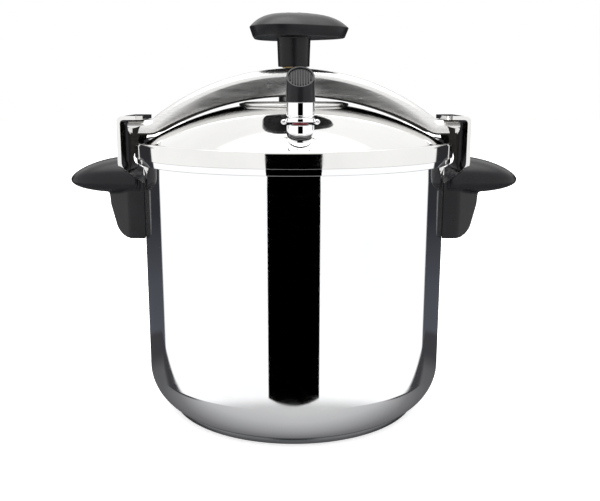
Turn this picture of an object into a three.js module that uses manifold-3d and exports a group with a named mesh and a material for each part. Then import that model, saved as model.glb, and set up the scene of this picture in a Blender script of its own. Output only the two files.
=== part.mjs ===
// Stovetop pressure cooker with a hooked bridge, a screw knob and a rotating valve.
// Millimetres, +Z up. The origin is the middle of the base's underside. The handles lie
// along X and the operating valve faces -Y.

import * as THREE from 'three';
import { mergeVertices } from 'three/addons/utils/BufferGeometryUtils.js';
import Module from 'manifold-3d';

const manifold = await Module();
manifold.setup();

// ---------------------------------------------------------------- driving dimensions

// General
const gap = 0.3; // between pieces that touch or are welded
const runningGap = 0.4; // between a piece and one that turns or slides in it
const roundSteps = 48; // facets round the pot and the lid
const smallSteps = 20; // facets round the small turned pieces

// Pot
const potRadius = 120; // outside of the straight wall
const sheet = 0.8; // steel sheet of the pot and the lid
const cornerRadius = 33.6; // sweep between the wall and the base
const cornerBottom = 0.45; // height at which that sweep would become level
const rimRadius = potRadius + 4.5; // outside of the rolled rim
const rimTop = 208;
const rimHem = rimTop - 8.6; // lower edge of the rolled rim

// Base
const baseRadius = potRadius - 18.3;
const baseThickness = 4.6;
const baseSkin = 0.8;
const baseCoreRadius = baseRadius - 4.7;
const ringDepth = 0.5; // depth of the ring pressed into the underside
const ringRadius = 62;

// Lid
const lidBandWall = 0.8;
const lidBandInner = rimRadius + 0.7;
const lidBandOuter = lidBandInner + lidBandWall;
const lidBandBottom = rimTop - 4;
const lidTop = rimTop + 8; // top of the ridge over the gasket
const domeTop = lidTop + 29.3; // height that the dome's curve reaches on the axis
const domeDrop = 33.9;
const domeRadius = rimRadius - 2.5;
const domePower = 2.28;
const domeEdge = rimRadius - 7; // where the dome meets the ridge
const domeHeight = (radius) => domeTop - domeDrop * (radius / domeRadius) ** domePower;
const gasketLip = 3.4; // how far the gasket reaches down inside the pot

// Screw, with the plate, the socket and the foot that take its thrust
const screwRadius = 5;
const plateRadius = 43.5;
const plateThickness = 3.1;
const plateBevel = 5; // width of the slope that clears the arch when the bridge sinks
const plateBevelDrop = 1.2;
const footRadius = screwRadius + 2.5;
const footHeight = 3;
const socketRadius = footRadius + 4.5;
const socketHeight = 9;
const socketFloor = 2.1;
const collarHeight = 3;

// Hook brackets
const strap = 3;
const strapHalfWidth = 23.5;
const bridgeTipRadius = lidBandOuter + 5; // the bridge's ends are cut to this circle about the pot's axis
const hookOuter = lidBandOuter + 11.5; // outside of the upright part
const hookTop = lidTop + 19;
const hookEnd = bridgeTipRadius - 13.5; // where the lip ends, from the pot's axis
const hookEndRadius = 5;
const kneeHeight = rimTop - 13.5; // where the strap starts to slope in
const heelHeight = kneeHeight - 10; // where it meets the pot wall
const strapBottom = heelHeight - 42.5;
const lipUnderside = hookTop - strap;

// Bridge
const bridgeHalfWidth = 19;
const bridgeSheet = 2.5;
const bridgeEdgeRadius = 7;
const bridgeTravel = 1; // how far the bridge sinks when the knob is slackened
const crown = { top: domeTop + 26, foot: lipUnderside - gap, toe: 8, toeStart: hookEnd - 2.4 };
const skirt = { top: domeTop + 3.3 + bridgeTravel, foot: lidTop + 4.2, toe: 16, toeStart: hookEnd - 4.2 };
const bushSpigot = screwRadius + 2;
const bushRadius = bushSpigot + 3.5;
const bushLength = 10.5;

// Knob
const stemTopRadius = 13.2;
const stemBottomRadius = 12.4;
const knobBottom = crown.top + 23.2;
const knobCrease = knobBottom + 7.4;
const knobTop = knobBottom + 18;
const knobMeanRadius = 38.5;
const knobLobe = 4.5; // the three corners reach this much further, the sides this much less
const knobDraft = 2.5;
const knobDomePower = 3.8;
const knobNutSize = screwRadius + 3.6;
const knobNutHeight = 5.7;
const pocketRadius = knobNutSize + 1;
const pocketFloor = knobBottom + 5.5;
const bossRadius = 5.8; // raised middle of the knob's plug
const bossHeight = 1.5;
const washerThickness = 0.6;
const washerRadius = screwRadius + 4;

// Handles
const handleHeight = rimTop - 23.6; // height of the tip
const handleTip = hookOuter + 42.2;
const gripRoot = hookOuter - 0.5;
const gripTop = 17.6;
const gripBottom = 10.4;
const gripHalfWidth = strapHalfWidth + 5.5;
const blockHalfWidth = strapHalfWidth + 2;
const blockNose = potRadius + 28.6;
const blockFront = potRadius + 10; // where the front face turns towards the nose
const blockNoseHalfWidth = 10;
const blockBottom = handleHeight - 45.4;
const blockBottomOuter = potRadius + 8.8;
const handleScrewHeight = handleHeight - 24.4;
const handleScrewRadius = 2.4;
const handleScrewHead = 4.6;
const handleScrewRecess = 6;
const handleNutRadius = 5.4;
const handleNutHeight = 4;

// Operating valve, upright on the sloping lid
const valveDistance = potRadius - 24.9; // from the pot's axis
const valveAngle = -87.3; // degrees from +X
const sleeveRadius = 9.65;
const sleeveFoot = sleeveRadius - 1.45;
const sleeveWall = 1;
const cupRadius = sleeveRadius - 0.3;
const valveBaseRadius = cupRadius - 1.5;
const valveSpigot = valveBaseRadius - 1.65;
const valveNutHeight = 3.6;
const valveSealHeight = 1.6;
const cupTop = domeHeight(valveDistance) + 5;
const cupBottom = cupTop - 7.2;
const cupClearance = 2.2; // between the cup's lower edge and the dome
const nozzleRadius = 3.2;
const ventRadius = 1.1;
const indicatorThickness = 1.5;
const indicatorTravel = 1.2;
const indicatorOuter = 5.4;
const sleeveBottom = cupTop + gap + indicatorThickness + indicatorTravel + 1.1;
const sleeveShoulder = sleeveBottom + 2.5;
const sleeveTop = sleeveBottom + 11.2;
const nozzleTop = sleeveTop - 2.9;
const capRadius = sleeveRadius + 0.4;
const capFront = sleeveTop + 9.9; // front of the slanting thumb face
const capTop = capFront + 14.5;
const earReach = sleeveRadius + 3.7;
const earWire = 0.75;
const earHeight = 3.7;
const springWire = 0.4;
const springWell = 10.5; // depth of the cap's hollow
const plungerTravel = 1.5;
const plungerHead = 2.4; // how far the plunger stands inside the cap

// Safety valve at the back of the lid
const safetyDistance = potRadius - 32;
const safetyAngle = 92.7;
const safetyRadius = 6.5;
const safetySpigot = 5;
const safetyHeight = 9.5;
const safetyPinRadius = 2;

// ---------------------------------------------------------------- materials

const metal = (color, roughness) => new THREE.MeshStandardMaterial({ color, roughness, metalness: 1 });
const plain = (color, roughness) => new THREE.MeshStandardMaterial({ color, roughness, metalness: 0 });
const mirrorSteel = metal(0xdedfe1, 0.08);
const satinSteel = metal(0xc9c8c6, 0.32);
const chrome = metal(0xe8e9eb, 0.05);
const plainSteel = metal(0xa8a9aa, 0.4);
const aluminium = metal(0xb9bcc0, 0.45);
const brass = metal(0xb08a4a, 0.35);
const bakelite = plain(0x26262a, 0.42);
const rubber = plain(0x4a4b4d, 0.75);
const redPlastic = plain(0x9c2430, 0.4);

// ---------------------------------------------------------------- solids

// A closed manifold solid from any closed three.js geometry, faces pointing out.
function solidOf(geometry) {
  const bare = geometry.clone();
  bare.deleteAttribute('normal');
  bare.deleteAttribute('uv');
  const merged = mergeVertices(bare, 1e-4);
  const corners = Array.from(merged.index.array);
  const triangles = [];
  for (let i = 0; i < corners.length; i += 3) {
    const [a, b, c] = corners.slice(i, i + 3);
    if (a !== b && b !== c && c !== a) triangles.push(a, b, c);
  }
  const build = (list) => new manifold.Manifold(new manifold.Mesh({
    numProp: 3,
    vertProperties: new Float32Array(merged.attributes.position.array),
    triVerts: new Uint32Array(list),
  }));
  const solid = build(triangles);
  return solid.volume() > 0 ? solid : build(triangles.reverse());
}

function geometryOf(solid) {
  const mesh = solid.getMesh();
  const geometry = new THREE.BufferGeometry();
  geometry.setAttribute('position', new THREE.BufferAttribute(new Float32Array(mesh.vertProperties), 3));
  geometry.setIndex(new THREE.BufferAttribute(new Uint32Array(mesh.triVerts), 1));
  geometry.computeVertexNormals();
  return geometry;
}

// A solid of revolution about Z from [radius, height] points that close on the axis or on themselves.
function turned(points, steps = smallSteps) {
  const profile = points.map(([radius, height]) => new THREE.Vector2(radius, height));
  return solidOf(new THREE.LatheGeometry(profile, steps).rotateX(Math.PI / 2));
}

// A turned ring from inner to outer radius between two heights.
function ring(inner, outer, low, high, steps = smallSteps) {
  return turned([[inner, low], [outer, low], [outer, high], [inner, high], [inner, low]], steps);
}

function disc(radius, low, high, steps = smallSteps) {
  return turned([[0, low], [radius, low], [radius, high], [0, high]], steps);
}

// A hexagonal nut with a round bore.
function hexNut(cornerDistance, bore, low, high) {
  return disc(cornerDistance, low, high, 6).subtract(disc(bore, low - 1, high + 1));
}

// An outline in X and Z pushed along Y, half the width each way.
function slabAlongY(points, halfWidth) {
  const shape = new THREE.Shape(points.map(([x, z]) => new THREE.Vector2(x, z)));
  const slab = new THREE.ExtrudeGeometry(shape, { depth: 2 * halfWidth, bevelEnabled: false });
  return solidOf(slab.translate(0, 0, -halfWidth).rotateX(Math.PI / 2));
}

// An outline in X and Y pushed up along Z.
function slabAlongZ(shape, low, high, curveSegments = 6) {
  const slab = new THREE.ExtrudeGeometry(shape, { depth: high - low, bevelEnabled: false, curveSegments });
  return solidOf(slab.translate(0, 0, low));
}

// Triangles that close an outline, wound the same way as the outline.
function capFaces(outline) {
  const direction = Math.sign(THREE.ShapeUtils.area(outline));
  return THREE.ShapeUtils.triangulateShape(outline, []).map(([a, b, c]) => {
    const winding = Math.sign(THREE.ShapeUtils.area([outline[a], outline[b], outline[c]]));
    return winding === direction ? [a, b, c] : [a, c, b];
  });
}

// Rings of equally many points joined in order; the outline says how to close the two ends.
function lofted(rings, outline) {
  const count = outline.length;
  const last = (rings.length - 1) * count;
  const index = [];
  for (let level = 0; level + 1 < rings.length; level += 1) {
    for (let i = 0; i < count; i += 1) {
      const low = level * count + i;
      const next = level * count + ((i + 1) % count);
      index.push(low, next, next + count, low, next + count, low + count);
    }
  }
  for (const [a, b, c] of capFaces(outline)) index.push(a, c, b, last + a, last + b, last + c);
  const geometry = new THREE.BufferGeometry().setFromPoints(rings.flat());
  geometry.setIndex(index);
  return solidOf(geometry);
}

// A section swept through stations in the XZ plane: its x runs along Y, its y up from the path.
function swept(section, stations) {
  const outline = section.getPoints(2).filter((p, i, all) => p.distanceTo(all[(i + 1) % all.length]) > 1e-6);
  const rings = stations.map(({ point, along }) => {
    const up = new THREE.Vector3(-along.z, 0, along.x).normalize();
    return outline.map(({ x, y }) => new THREE.Vector3(point.x + up.x * y, x, point.z + up.z * y));
  });
  return lofted(rings, outline);
}

// A helical spring about the Z axis.
class Helix extends THREE.Curve {
  constructor(radius, low, high, turns) {
    super();
    Object.assign(this, { radius, low, high, turns });
  }

  getPoint(t, target = new THREE.Vector3()) {
    const angle = 2 * Math.PI * this.turns * t;
    const height = this.low + (this.high - this.low) * t;
    return target.set(this.radius * Math.cos(angle), this.radius * Math.sin(angle), height);
  }
}

function spring(radius, low, high, turns) {
  const wire = new THREE.Shape().absarc(0, 0, springWire, 0, 2 * Math.PI);
  const helix = new Helix(radius, low + springWire, high - springWire, turns);
  const settings = { steps: 12 * turns, extrudePath: helix, curveSegments: 3 };
  return solidOf(new THREE.ExtrudeGeometry(wire, settings));
}

const arc = (centreX, centreY, radius, from, to, steps) => Array.from({ length: steps + 1 }, (_, i) => {
  const angle = THREE.MathUtils.degToRad(from + ((to - from) * i) / steps);
  return [centreX + radius * Math.cos(angle), centreY + radius * Math.sin(angle)];
});

// ---------------------------------------------------------------- pot

const cornerCentre = [potRadius - cornerRadius, cornerBottom + cornerRadius];

// The sweep from the floor up to the wall, as seen at an offset inside the outer surface.
function cornerSweep(inset, floor) {
  const radius = cornerRadius - inset;
  const start = THREE.MathUtils.radToDeg(Math.asin((floor - cornerCentre[1]) / radius));
  return arc(cornerCentre[0], cornerCentre[1], radius, start, 0, 7);
}

function potBody() {
  const wallTop = rimTop - sheet;
  const hemInner = rimRadius - sheet;
  const outside = [[0, baseThickness], ...cornerSweep(0, baseThickness), [potRadius, wallTop],
    [hemInner, wallTop],
    [hemInner, rimHem], [rimRadius, rimHem], [rimRadius, rimTop - 1], [rimRadius - 1, rimTop]];
  const inside = [[potRadius - sheet, rimTop], ...cornerSweep(sheet, baseThickness + sheet).reverse(),
    [0, baseThickness + sheet]];
  return turned([...outside, ...inside], roundSteps);
}

// Steel cup under the pot with the aluminium core pressed inside it.
function baseCover() {
  const top = baseThickness - gap;
  return turned([[0, ringDepth], [ringRadius, ringDepth], [ringRadius + 1, 0], [baseRadius - 1, 0],
    [baseRadius, 1], [baseRadius, top], [baseCoreRadius + gap, top],
    [baseCoreRadius + gap, baseSkin + ringDepth], [0, baseSkin + ringDepth]], roundSteps);
}

function baseCore() {
  return disc(baseCoreRadius, baseSkin + ringDepth + gap, baseThickness - gap, roundSteps);
}

// ---------------------------------------------------------------- hook brackets and handles

// Straight runs joined by rounded corners, through [x, z] points in the XZ plane.
function bentPath(points, radius) {
  const at = ([x, z]) => new THREE.Vector3(x, 0, z);
  const path = new THREE.CurvePath();
  let from = at(points[0]);
  for (let i = 1; i + 1 < points.length; i += 1) {
    const corner = at(points[i]);
    const before = at(points[i - 1]).sub(corner).setLength(radius).add(corner);
    const after = at(points[i + 1]).sub(corner).setLength(radius).add(corner);
    path.add(new THREE.LineCurve3(from, before));
    path.add(new THREE.QuadraticBezierCurve3(before, corner, after));
    from = after;
  }
  path.add(new THREE.LineCurve3(from, at(points[points.length - 1])));
  return path;
}

const plateMiddle = potRadius + gap + strap / 2;
const uprightMiddle = hookOuter - strap / 2;
const lipMiddle = hookTop - strap / 2;

function strapSolid(thickness, halfWidth) {
  const path = bentPath([[plateMiddle, strapBottom], [plateMiddle, heelHeight], [uprightMiddle, kneeHeight],
    [uprightMiddle, lipMiddle], [hookEnd, lipMiddle]], 5);
  const section = new THREE.Shape([[-1, -1], [1, -1], [1, 1], [-1, 1]].map(
    ([x, y]) => new THREE.Vector2(x * halfWidth, (y * thickness) / 2),
  ));
  const steps = 34;
  return swept(section, path.getSpacedPoints(steps).map(
    (point, i) => ({ point, along: path.getTangentAt(i / steps) }),
  ));
}

// The lip's two inner corners are rounded in plan.
function hookBracket() {
  const plan = new THREE.Shape();
  const far = hookEnd + hookEndRadius;
  const side = strapHalfWidth - hookEndRadius;
  plan.moveTo(hookOuter + 1, -strapHalfWidth - 1);
  plan.lineTo(far, -strapHalfWidth - 1);
  plan.lineTo(far, -strapHalfWidth);
  plan.absarc(far, -side, hookEndRadius, -Math.PI / 2, Math.PI, true);
  plan.absarc(far, side, hookEndRadius, Math.PI, Math.PI / 2, true);
  plan.lineTo(far, strapHalfWidth + 1);
  plan.lineTo(hookOuter + 1, strapHalfWidth + 1);
  const lipZone = slabAlongZ(plan, hookTop - 2 * strap, hookTop + 1);
  const below = slabAlongY([[potRadius - 5, 0], [hookOuter + 1, 0], [hookOuter + 1, hookTop - 2 * strap],
    [potRadius - 5, hookTop - 2 * strap]], strapHalfWidth + 1);
  const hole = turnedAlongX(handleScrewRadius + gap, potRadius - 2, potRadius + 8, handleScrewHeight);
  return strapSolid(strap, strapHalfWidth).intersect(lipZone.add(below)).subtract(hole);
}

function turnedAlongX(radius, from, to, height, steps = 16) {
  const cylinder = new THREE.CylinderGeometry(radius, radius, to - from, steps);
  return solidOf(cylinder.rotateZ(Math.PI / 2).translate((from + to) / 2, 0, height));
}

// Superellipse: 1 at the middle and 0 at the rim.
const swell = (t, power) => Math.max(0, 1 - Math.abs(t) ** power) ** (1 / power);

// The grip: a flattened wing, fuller above than below, that closes at the tip.
function grip() {
  const length = handleTip - gripRoot;
  const outline = Array.from({ length: 20 }, (_, i) => {
    const angle = (2 * Math.PI * i) / 20;
    const rounded = (value) => Math.sign(value) * Math.abs(value) ** 0.8;
    return new THREE.Vector2(rounded(Math.cos(angle)), rounded(Math.sin(angle)));
  });
  const ringAt = (x, along) => {
    const width = Math.max(0.6, gripHalfWidth * swell(along, 2.6));
    const above = Math.max(0.3, gripTop * swell(along, 1.62));
    const below = Math.max(0.3, gripBottom * swell(along, 2));
    return outline.map(({ x: side, y: rise }) => new THREE.Vector3(
      x, width * side, handleHeight + (rise > 0 ? above : below) * rise,
    ));
  };
  const stations = [0, 0.3, 0.55, 0.75, 0.88, 0.96, 1];
  return lofted([ringAt(potRadius + 2, 0), ...stations.map((s) => ringAt(gripRoot + length * s,
    s))], outline);
}

function handleBlock() {
  const side = slabAlongY([[potRadius - 8, blockBottom], [blockBottomOuter, blockBottom],
    ...arc(blockBottomOuter, blockBottom + 14.5, 14.5, -75, -12, 5), [blockNose - 1.1, blockBottom + 26],
    [blockNose, handleHeight - 4], [potRadius - 8, handleHeight + 8]], blockHalfWidth);
  const plan = new THREE.Shape([[potRadius - 9, -blockHalfWidth - 1], [blockFront, -blockHalfWidth - 1],
    [blockFront, -blockHalfWidth], [blockNose + 1, -blockNoseHalfWidth], [blockNose + 1, blockNoseHalfWidth],
    [blockFront, blockHalfWidth], [blockFront, blockHalfWidth + 1], [potRadius - 9, blockHalfWidth + 1]].map(
    ([x, y]) => new THREE.Vector2(x, y),
  ));
  return side.intersect(slabAlongZ(plan, blockBottom - 1, handleHeight + 20));
}

function handle() {
  const slot = strapSolid(strap + 2 * gap, strapHalfWidth + gap);
  const upright = hookOuter + gap;
  const slope = (kneeHeight - heelHeight) / (uprightMiddle - plateMiddle);
  const upper = (strap / 2) * Math.hypot(1, slope); // the cheeks reach up to the strap's outer side
  const inner = potRadius - 15;
  const above = slabAlongY([[inner, heelHeight + upper + slope * (inner - plateMiddle)],
    [upright, kneeHeight + upper + slope * (upright - uprightMiddle)], [upright, hookTop],
    [inner, hookTop]], 50);
  const pot = disc(potRadius + gap, 0, rimTop, roundSteps);
  const nutPocket = turnedAlongX(handleNutRadius + gap, potRadius, nutOuter() + gap, handleScrewHeight);
  const shank = turnedAlongX(handleScrewRadius + gap, potRadius, blockNose + 2, handleScrewHeight);
  const recess = turnedAlongX(handleScrewHead + gap, headInner() - gap, blockNose + 2, handleScrewHeight);
  return grip().add(handleBlock()).subtract(slot).subtract(above).subtract(pot)
    .subtract(nutPocket).subtract(shank).subtract(recess);
}

const nutInner = () => plateMiddle + strap / 2 + gap;
const nutOuter = () => nutInner() + handleNutHeight;
const headInner = () => blockNose - handleScrewRecess - 3;

function handleNut() {
  const bore = turnedAlongX(handleScrewRadius + gap, nutInner() - 1, nutOuter() + 1, handleScrewHeight);
  return turnedAlongX(handleNutRadius, nutInner(), nutOuter(), handleScrewHeight, 6).subtract(bore);
}

function handleScrew() {
  const shank = turnedAlongX(handleScrewRadius, plateMiddle, headInner() + 1, handleScrewHeight);
  const head = turnedAlongX(handleScrewHead, headInner(), headInner() + 3, handleScrewHeight);
  const slot = new THREE.BoxGeometry(2, 2 * handleScrewHead + 1, 1.1);
  return shank.add(head).subtract(solidOf(slot.translate(headInner() + 3, 0, handleScrewHeight)));
}

// ---------------------------------------------------------------- lid

const plateSeat = domeHeight(plateRadius + gap); // the dome is pressed flat under the plate

// The dome as [radius, height] points, raised or lowered by an offset.
function domeLine(offset, edge = domeEdge) {
  const steps = 7;
  const start = plateRadius + gap;
  return Array.from({ length: steps + 1 }, (_, i) => {
    const radius = start + ((edge - start) * i) / steps;
    return [radius, domeHeight(radius) + offset];
  });
}

function lidShell() {
  const ridge = [[domeEdge + 2, lidTop - 0.6], [domeEdge + 4, lidTop], [lidBandOuter - 2, lidTop],
    [lidBandOuter - 0.6, lidTop - 0.6], [lidBandOuter, lidTop - 2], [lidBandOuter, lidBandBottom]];
  const under = [[lidBandInner, lidBandBottom], [lidBandInner, lidTop - sheet - 1.6],
    [lidBandInner - 1.4, lidTop - sheet], [domeEdge + 4, lidTop - sheet], [domeEdge + 0.6, lidTop - 2.6]];
  const inside = domeLine(-sheet, domeEdge - 0.3).reverse();
  return turned([[0, plateSeat], ...domeLine(0), ...ridge, ...under, ...inside, [0,
    plateSeat - sheet]], roundSteps);
}

// Everything below a surface that clears the dome.
function underDome(clearance) {
  const line = domeLine(clearance, lidBandOuter);
  return turned([[0, 0], [lidBandOuter, 0], ...line.reverse(), [0, plateSeat + clearance]], roundSteps);
}

function lid() {
  const valveHole = disc(valveSpigot + gap, rimHem, domeTop).translate(valveSpot);
  const safetyHole = disc(safetySpigot + gap, rimHem, domeTop).translate(safetySpot);
  return lidShell().subtract(valveHole).subtract(safetyHole);
}

function gasket() {
  const inner = domeEdge + 1.6;
  const outer = lidBandInner - 0.5;
  const low = rimTop + gap;
  const lipOuter = potRadius - sheet - 1;
  return turned([[inner, low], [outer, low], [outer, lidTop - sheet - 2.2],
    [outer - 1.4, lidTop - sheet - gap],
    [domeEdge + 4, lidTop - sheet - gap], [domeEdge, lidTop - 4.2], [lipOuter - 4, low - 0.5],
    [lipOuter - 2, rimTop - gasketLip], [lipOuter, rimTop - gasketLip], [lipOuter, low],
    [inner, low]], roundSteps);
}

// ---------------------------------------------------------------- screw, bridge and knob

const plateLow = plateSeat + gap;
const plateTop = plateLow + plateThickness;
const socketLow = plateTop + gap;
const footLow = socketLow + socketFloor + gap;
const socketTop = socketLow + socketHeight;
const collarLow = footLow + footHeight + gap;
const bridgeTop = crown.top;

function pressurePlate() {
  return turned([[0, plateLow], [plateRadius - 0.8, plateLow], [plateRadius, plateLow + 0.8],
    [plateRadius, plateTop - plateBevelDrop], [plateRadius - plateBevel, plateTop], [0, plateTop]], roundSteps);
}

function thrustSocket() {
  const bore = footRadius + 0.8;
  return turned([[0, socketLow], [socketRadius, socketLow], [socketRadius, socketTop - 1],
    [socketRadius - 1, socketTop],
    [bore, socketTop], [bore, socketLow + socketFloor], [0, socketLow + socketFloor]]);
}

function socketCollar() {
  return ring(screwRadius + runningGap, footRadius + 0.4, collarLow, collarLow + collarHeight);
}

const bridgeEnd = bridgeTipRadius + 2;

// A bridge edge from end to end: an arc about a point on the axis that flattens into a level toe.
function bridgeLine({ top, foot, toe, toeStart }) {
  const toeCentre = foot + toe;
  const drop = top - toeCentre;
  const radius = (toeStart ** 2 + drop ** 2 - toe ** 2) / (2 * (toe + drop));
  const centre = top - radius;
  const slope = Math.asin(toeStart / (radius + toe));
  const at = (x, z, angle) => ({ point: new THREE.Vector3(x, 0, z),
    along: new THREE.Vector3(Math.cos(angle), 0, -Math.sin(angle)) });
  const half = [];
  const steps = 12;
  for (let i = 0; i <= steps; i += 1) {
    const angle = (slope * i) / steps;
    half.push(at(radius * Math.sin(angle), centre + radius * Math.cos(angle), angle));
  }
  for (const share of [0.7, 0.35, 0]) {
    half.push(at(toeStart - toe * Math.sin(slope * share),
      toeCentre - toe * Math.cos(slope * share), slope * share));
  }
  half.push(at(bridgeEnd, foot, 0));
  const mirrored = half.slice(1).reverse().map(({ point, along }) => ({
    point: new THREE.Vector3(-point.x, 0, point.z), along: new THREE.Vector3(along.x, 0, -along.z),
  }));
  return [...mirrored, ...half];
}

// Inverted channel section with its top face at y = 0.
function channelSection() {
  const depth = -(crown.top - skirt.top + 12);
  const inner = bridgeEdgeRadius - bridgeSheet;
  const half = bridgeHalfWidth;
  const centre = half - bridgeEdgeRadius;
  const section = new THREE.Shape();
  section.moveTo(half, depth);
  section.lineTo(half, -bridgeEdgeRadius);
  section.absarc(centre, -bridgeEdgeRadius, bridgeEdgeRadius, 0, Math.PI / 2, false);
  section.absarc(-centre, -bridgeEdgeRadius, bridgeEdgeRadius, Math.PI / 2, Math.PI, false);
  section.lineTo(-half, depth);
  section.lineTo(-half + bridgeSheet, depth);
  section.lineTo(-half + bridgeSheet, -bridgeEdgeRadius);
  section.absarc(-centre, -bridgeEdgeRadius, inner, Math.PI, Math.PI / 2, true);
  section.absarc(centre, -bridgeEdgeRadius, inner, Math.PI / 2, 0, true);
  section.lineTo(half - bridgeSheet, depth);
  return section;
}

function bridge() {
  const channel = swept(channelSection(), bridgeLine(crown));
  const edge = bridgeLine(skirt).map(({ point }) => [point.x, point.z]);
  const keep = slabAlongY([...edge, [bridgeEnd, crown.top + 5], [-bridgeEnd, crown.top + 5]],
    bridgeHalfWidth + 1);
  const tips = disc(bridgeTipRadius, skirt.foot - 5, crown.top + 5, 72);
  const hole = disc(bushSpigot + gap, skirt.top, crown.top + 5);
  return channel.intersect(keep).intersect(tips).subtract(hole);
}

function bridgeBush() {
  const shoulder = bridgeTop - bridgeSheet - 2 * gap;
  const low = shoulder - bushLength;
  const bore = screwRadius + runningGap;
  return turned([[bore, low], [bushRadius - 1, low], [bushRadius, low + 1], [bushRadius, shoulder],
    [bushSpigot, shoulder], [bushSpigot, bridgeTop + 0.15], [bore, bridgeTop + 0.15], [bore, low]]);
}

const washerLow = bridgeTop + 0.15 + gap;
const stemBottom = washerLow + washerThickness + gap;

function knobWasher() {
  return ring(screwRadius + gap, washerRadius, washerLow, washerLow + washerThickness);
}

function spindle() {
  const top = pocketFloor + gap + knobNutHeight + 0.8;
  return turned([[0, footLow], [footRadius - 1, footLow], [footRadius, footLow + 0.8],
    [footRadius, footLow + footHeight], [screwRadius, footLow + footHeight], [screwRadius, top - 1],
    [screwRadius - 1, top], [0, top]]);
}

// Distance of the knob's outline from its axis, longest at its three corners.
const knobReach = (angle) => knobMeanRadius + knobLobe * Math.cos(3 * angle);

function knobHead() {
  const full = knobMeanRadius + knobLobe;
  const dome = [1, 0.95, 0.87, 0.75, 0.55, 0.25, 0].map(
    (share) => [full * share, knobTop - (knobTop - knobCrease) * share ** knobDomePower],
  );
  const profile = [[0, knobBottom], [full - knobDraft - 1, knobBottom],
    [full - knobDraft, knobBottom + 0.8], ...dome];
  const points = profile.map(([radius, height]) => new THREE.Vector2(radius, height));
  const head = new THREE.LatheGeometry(points, 42).rotateX(Math.PI / 2);
  const position = head.attributes.position;
  for (let i = 0; i < position.count; i += 1) {
    const x = position.getX(i);
    const y = position.getY(i);
    const share = knobReach(Math.atan2(y, x)) / full;
    position.setXY(i, x * share, y * share);
  }
  return solidOf(head);
}

function knob() {
  const stem = turned([[0, stemBottom], [stemBottomRadius, stemBottom], [stemTopRadius, knobBottom + 2],
    [0, knobBottom + 2]], 32);
  const bore = disc(screwRadius + gap, stemBottom - 1, knobTop);
  const pocket = disc(pocketRadius, pocketFloor, knobTop + 1);
  return knobHead().add(stem).subtract(bore).subtract(pocket);
}

function knobNut() {
  return hexNut(knobNutSize, screwRadius + gap, pocketFloor + gap, pocketFloor + gap + knobNutHeight);
}

function knobCap() {
  const radius = pocketRadius - gap;
  const low = knobTop - 5.5;
  const boss = knobTop + bossHeight;
  return turned([[0, low], [radius, low], [radius, knobTop - 0.3], [bossRadius + 0.4, knobTop],
    [bossRadius, boss - 0.3], [bossRadius - 0.5, boss], [0, boss + 0.1]]);
}

// ---------------------------------------------------------------- operating valve

function spotOnLid(distance, degrees) {
  const angle = THREE.MathUtils.degToRad(degrees);
  return [distance * Math.cos(angle), distance * Math.sin(angle), 0];
}

const valveSpot = spotOnLid(valveDistance, valveAngle);
const safetySpot = spotOnLid(safetyDistance, safetyAngle);

// Heights for a fitting that goes through the sloping lid.
function lidFitting(distance, radius) {
  return { low: domeHeight(distance + radius) - sheet - 1.6, high: domeHeight(distance - radius) + 0.5 };
}

// A collar above the lid, cut to the lid's slope, with a spigot through the lid's hole.
function fittingBase(spot, collar, spigot, bore, low, high) {
  const above = disc(collar, low, high).translate(spot).subtract(underDome(gap));
  return above.add(disc(spigot, low, high).translate(spot)).subtract(disc(bore, low - 1,
    high + 1).translate(spot));
}

const valveFit = lidFitting(valveDistance, valveSpigot);
const valveSealLow = valveFit.low - gap - valveSealHeight;
const valveNutLow = valveSealLow - gap - valveNutHeight;
const stalk = 4;

const valveBase = () => fittingBase(valveSpot, valveBaseRadius, valveSpigot, stalk + gap,
  valveFit.low, cupTop - 2);
const valveSeal = () => ring(stalk + gap, valveSpigot + 1.6, valveSealLow, valveSealLow + valveSealHeight);
const valveNut = () => hexNut(valveSpigot + 2, stalk + gap, valveNutLow, valveNutLow + valveNutHeight);

function valveNozzle() {
  const seat = cupTop - 2 + gap;
  return turned([[ventRadius, valveNutLow - 1], [stalk, valveNutLow - 1], [stalk, seat],
    [indicatorOuter, seat], [indicatorOuter, cupTop], [nozzleRadius, cupTop], [nozzleRadius, nozzleTop - 2],
    [ventRadius + 0.6, nozzleTop], [ventRadius, nozzleTop], [ventRadius, valveNutLow - 1]]);
}

function valveCup() {
  const inner = valveBaseRadius + gap;
  const wall = turned([[inner, cupBottom], [inner + 0.3, cupBottom], [cupRadius, cupBottom + 1.4],
    [cupRadius, cupTop], [inner, cupTop], [inner, cupBottom]]);
  return wall.translate(valveSpot).subtract(underDome(cupClearance));
}

const indicatorLow = cupTop + gap;
const indicatorHigh = indicatorLow + indicatorThickness;
const indicatorRing = () => ring(nozzleRadius + runningGap, indicatorOuter, indicatorLow, indicatorHigh);

// A ring round the sleeve's foot with a wire eye on each side. It clears the raised indicator's edge.
function valveRing() {
  const low = sleeveBottom - 1.9;
  const half = (earReach - sleeveRadius) / 2 + 0.35;
  const eye = (side) => {
    const torus = new THREE.TorusGeometry(half - earWire, earWire, 6, 14).rotateX(Math.PI / 2);
    const tall = (earHeight / 2 - earWire) / (half - earWire);
    return solidOf(torus.scale(1, 1, tall).translate(side * (earReach - half), 0, low));
  };
  const hoop = ring(sleeveFoot + runningGap, sleeveRadius + 0.2, low, sleeveBottom + 0.7);
  return hoop.add(eye(1)).add(eye(-1));
}

// The sleeve covers the nozzle and is open below.
function valveSleeve() {
  const bore = sleeveFoot - sleeveWall;
  const roof = sleeveTop - sleeveWall;
  return turned([[bore, sleeveBottom], [sleeveFoot, sleeveBottom], [sleeveFoot, sleeveBottom + 1.2],
    [sleeveRadius, sleeveShoulder], [sleeveRadius, sleeveTop], [3, sleeveTop], [3, roof], [bore, roof],
    [bore, sleeveBottom]]);
}

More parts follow.
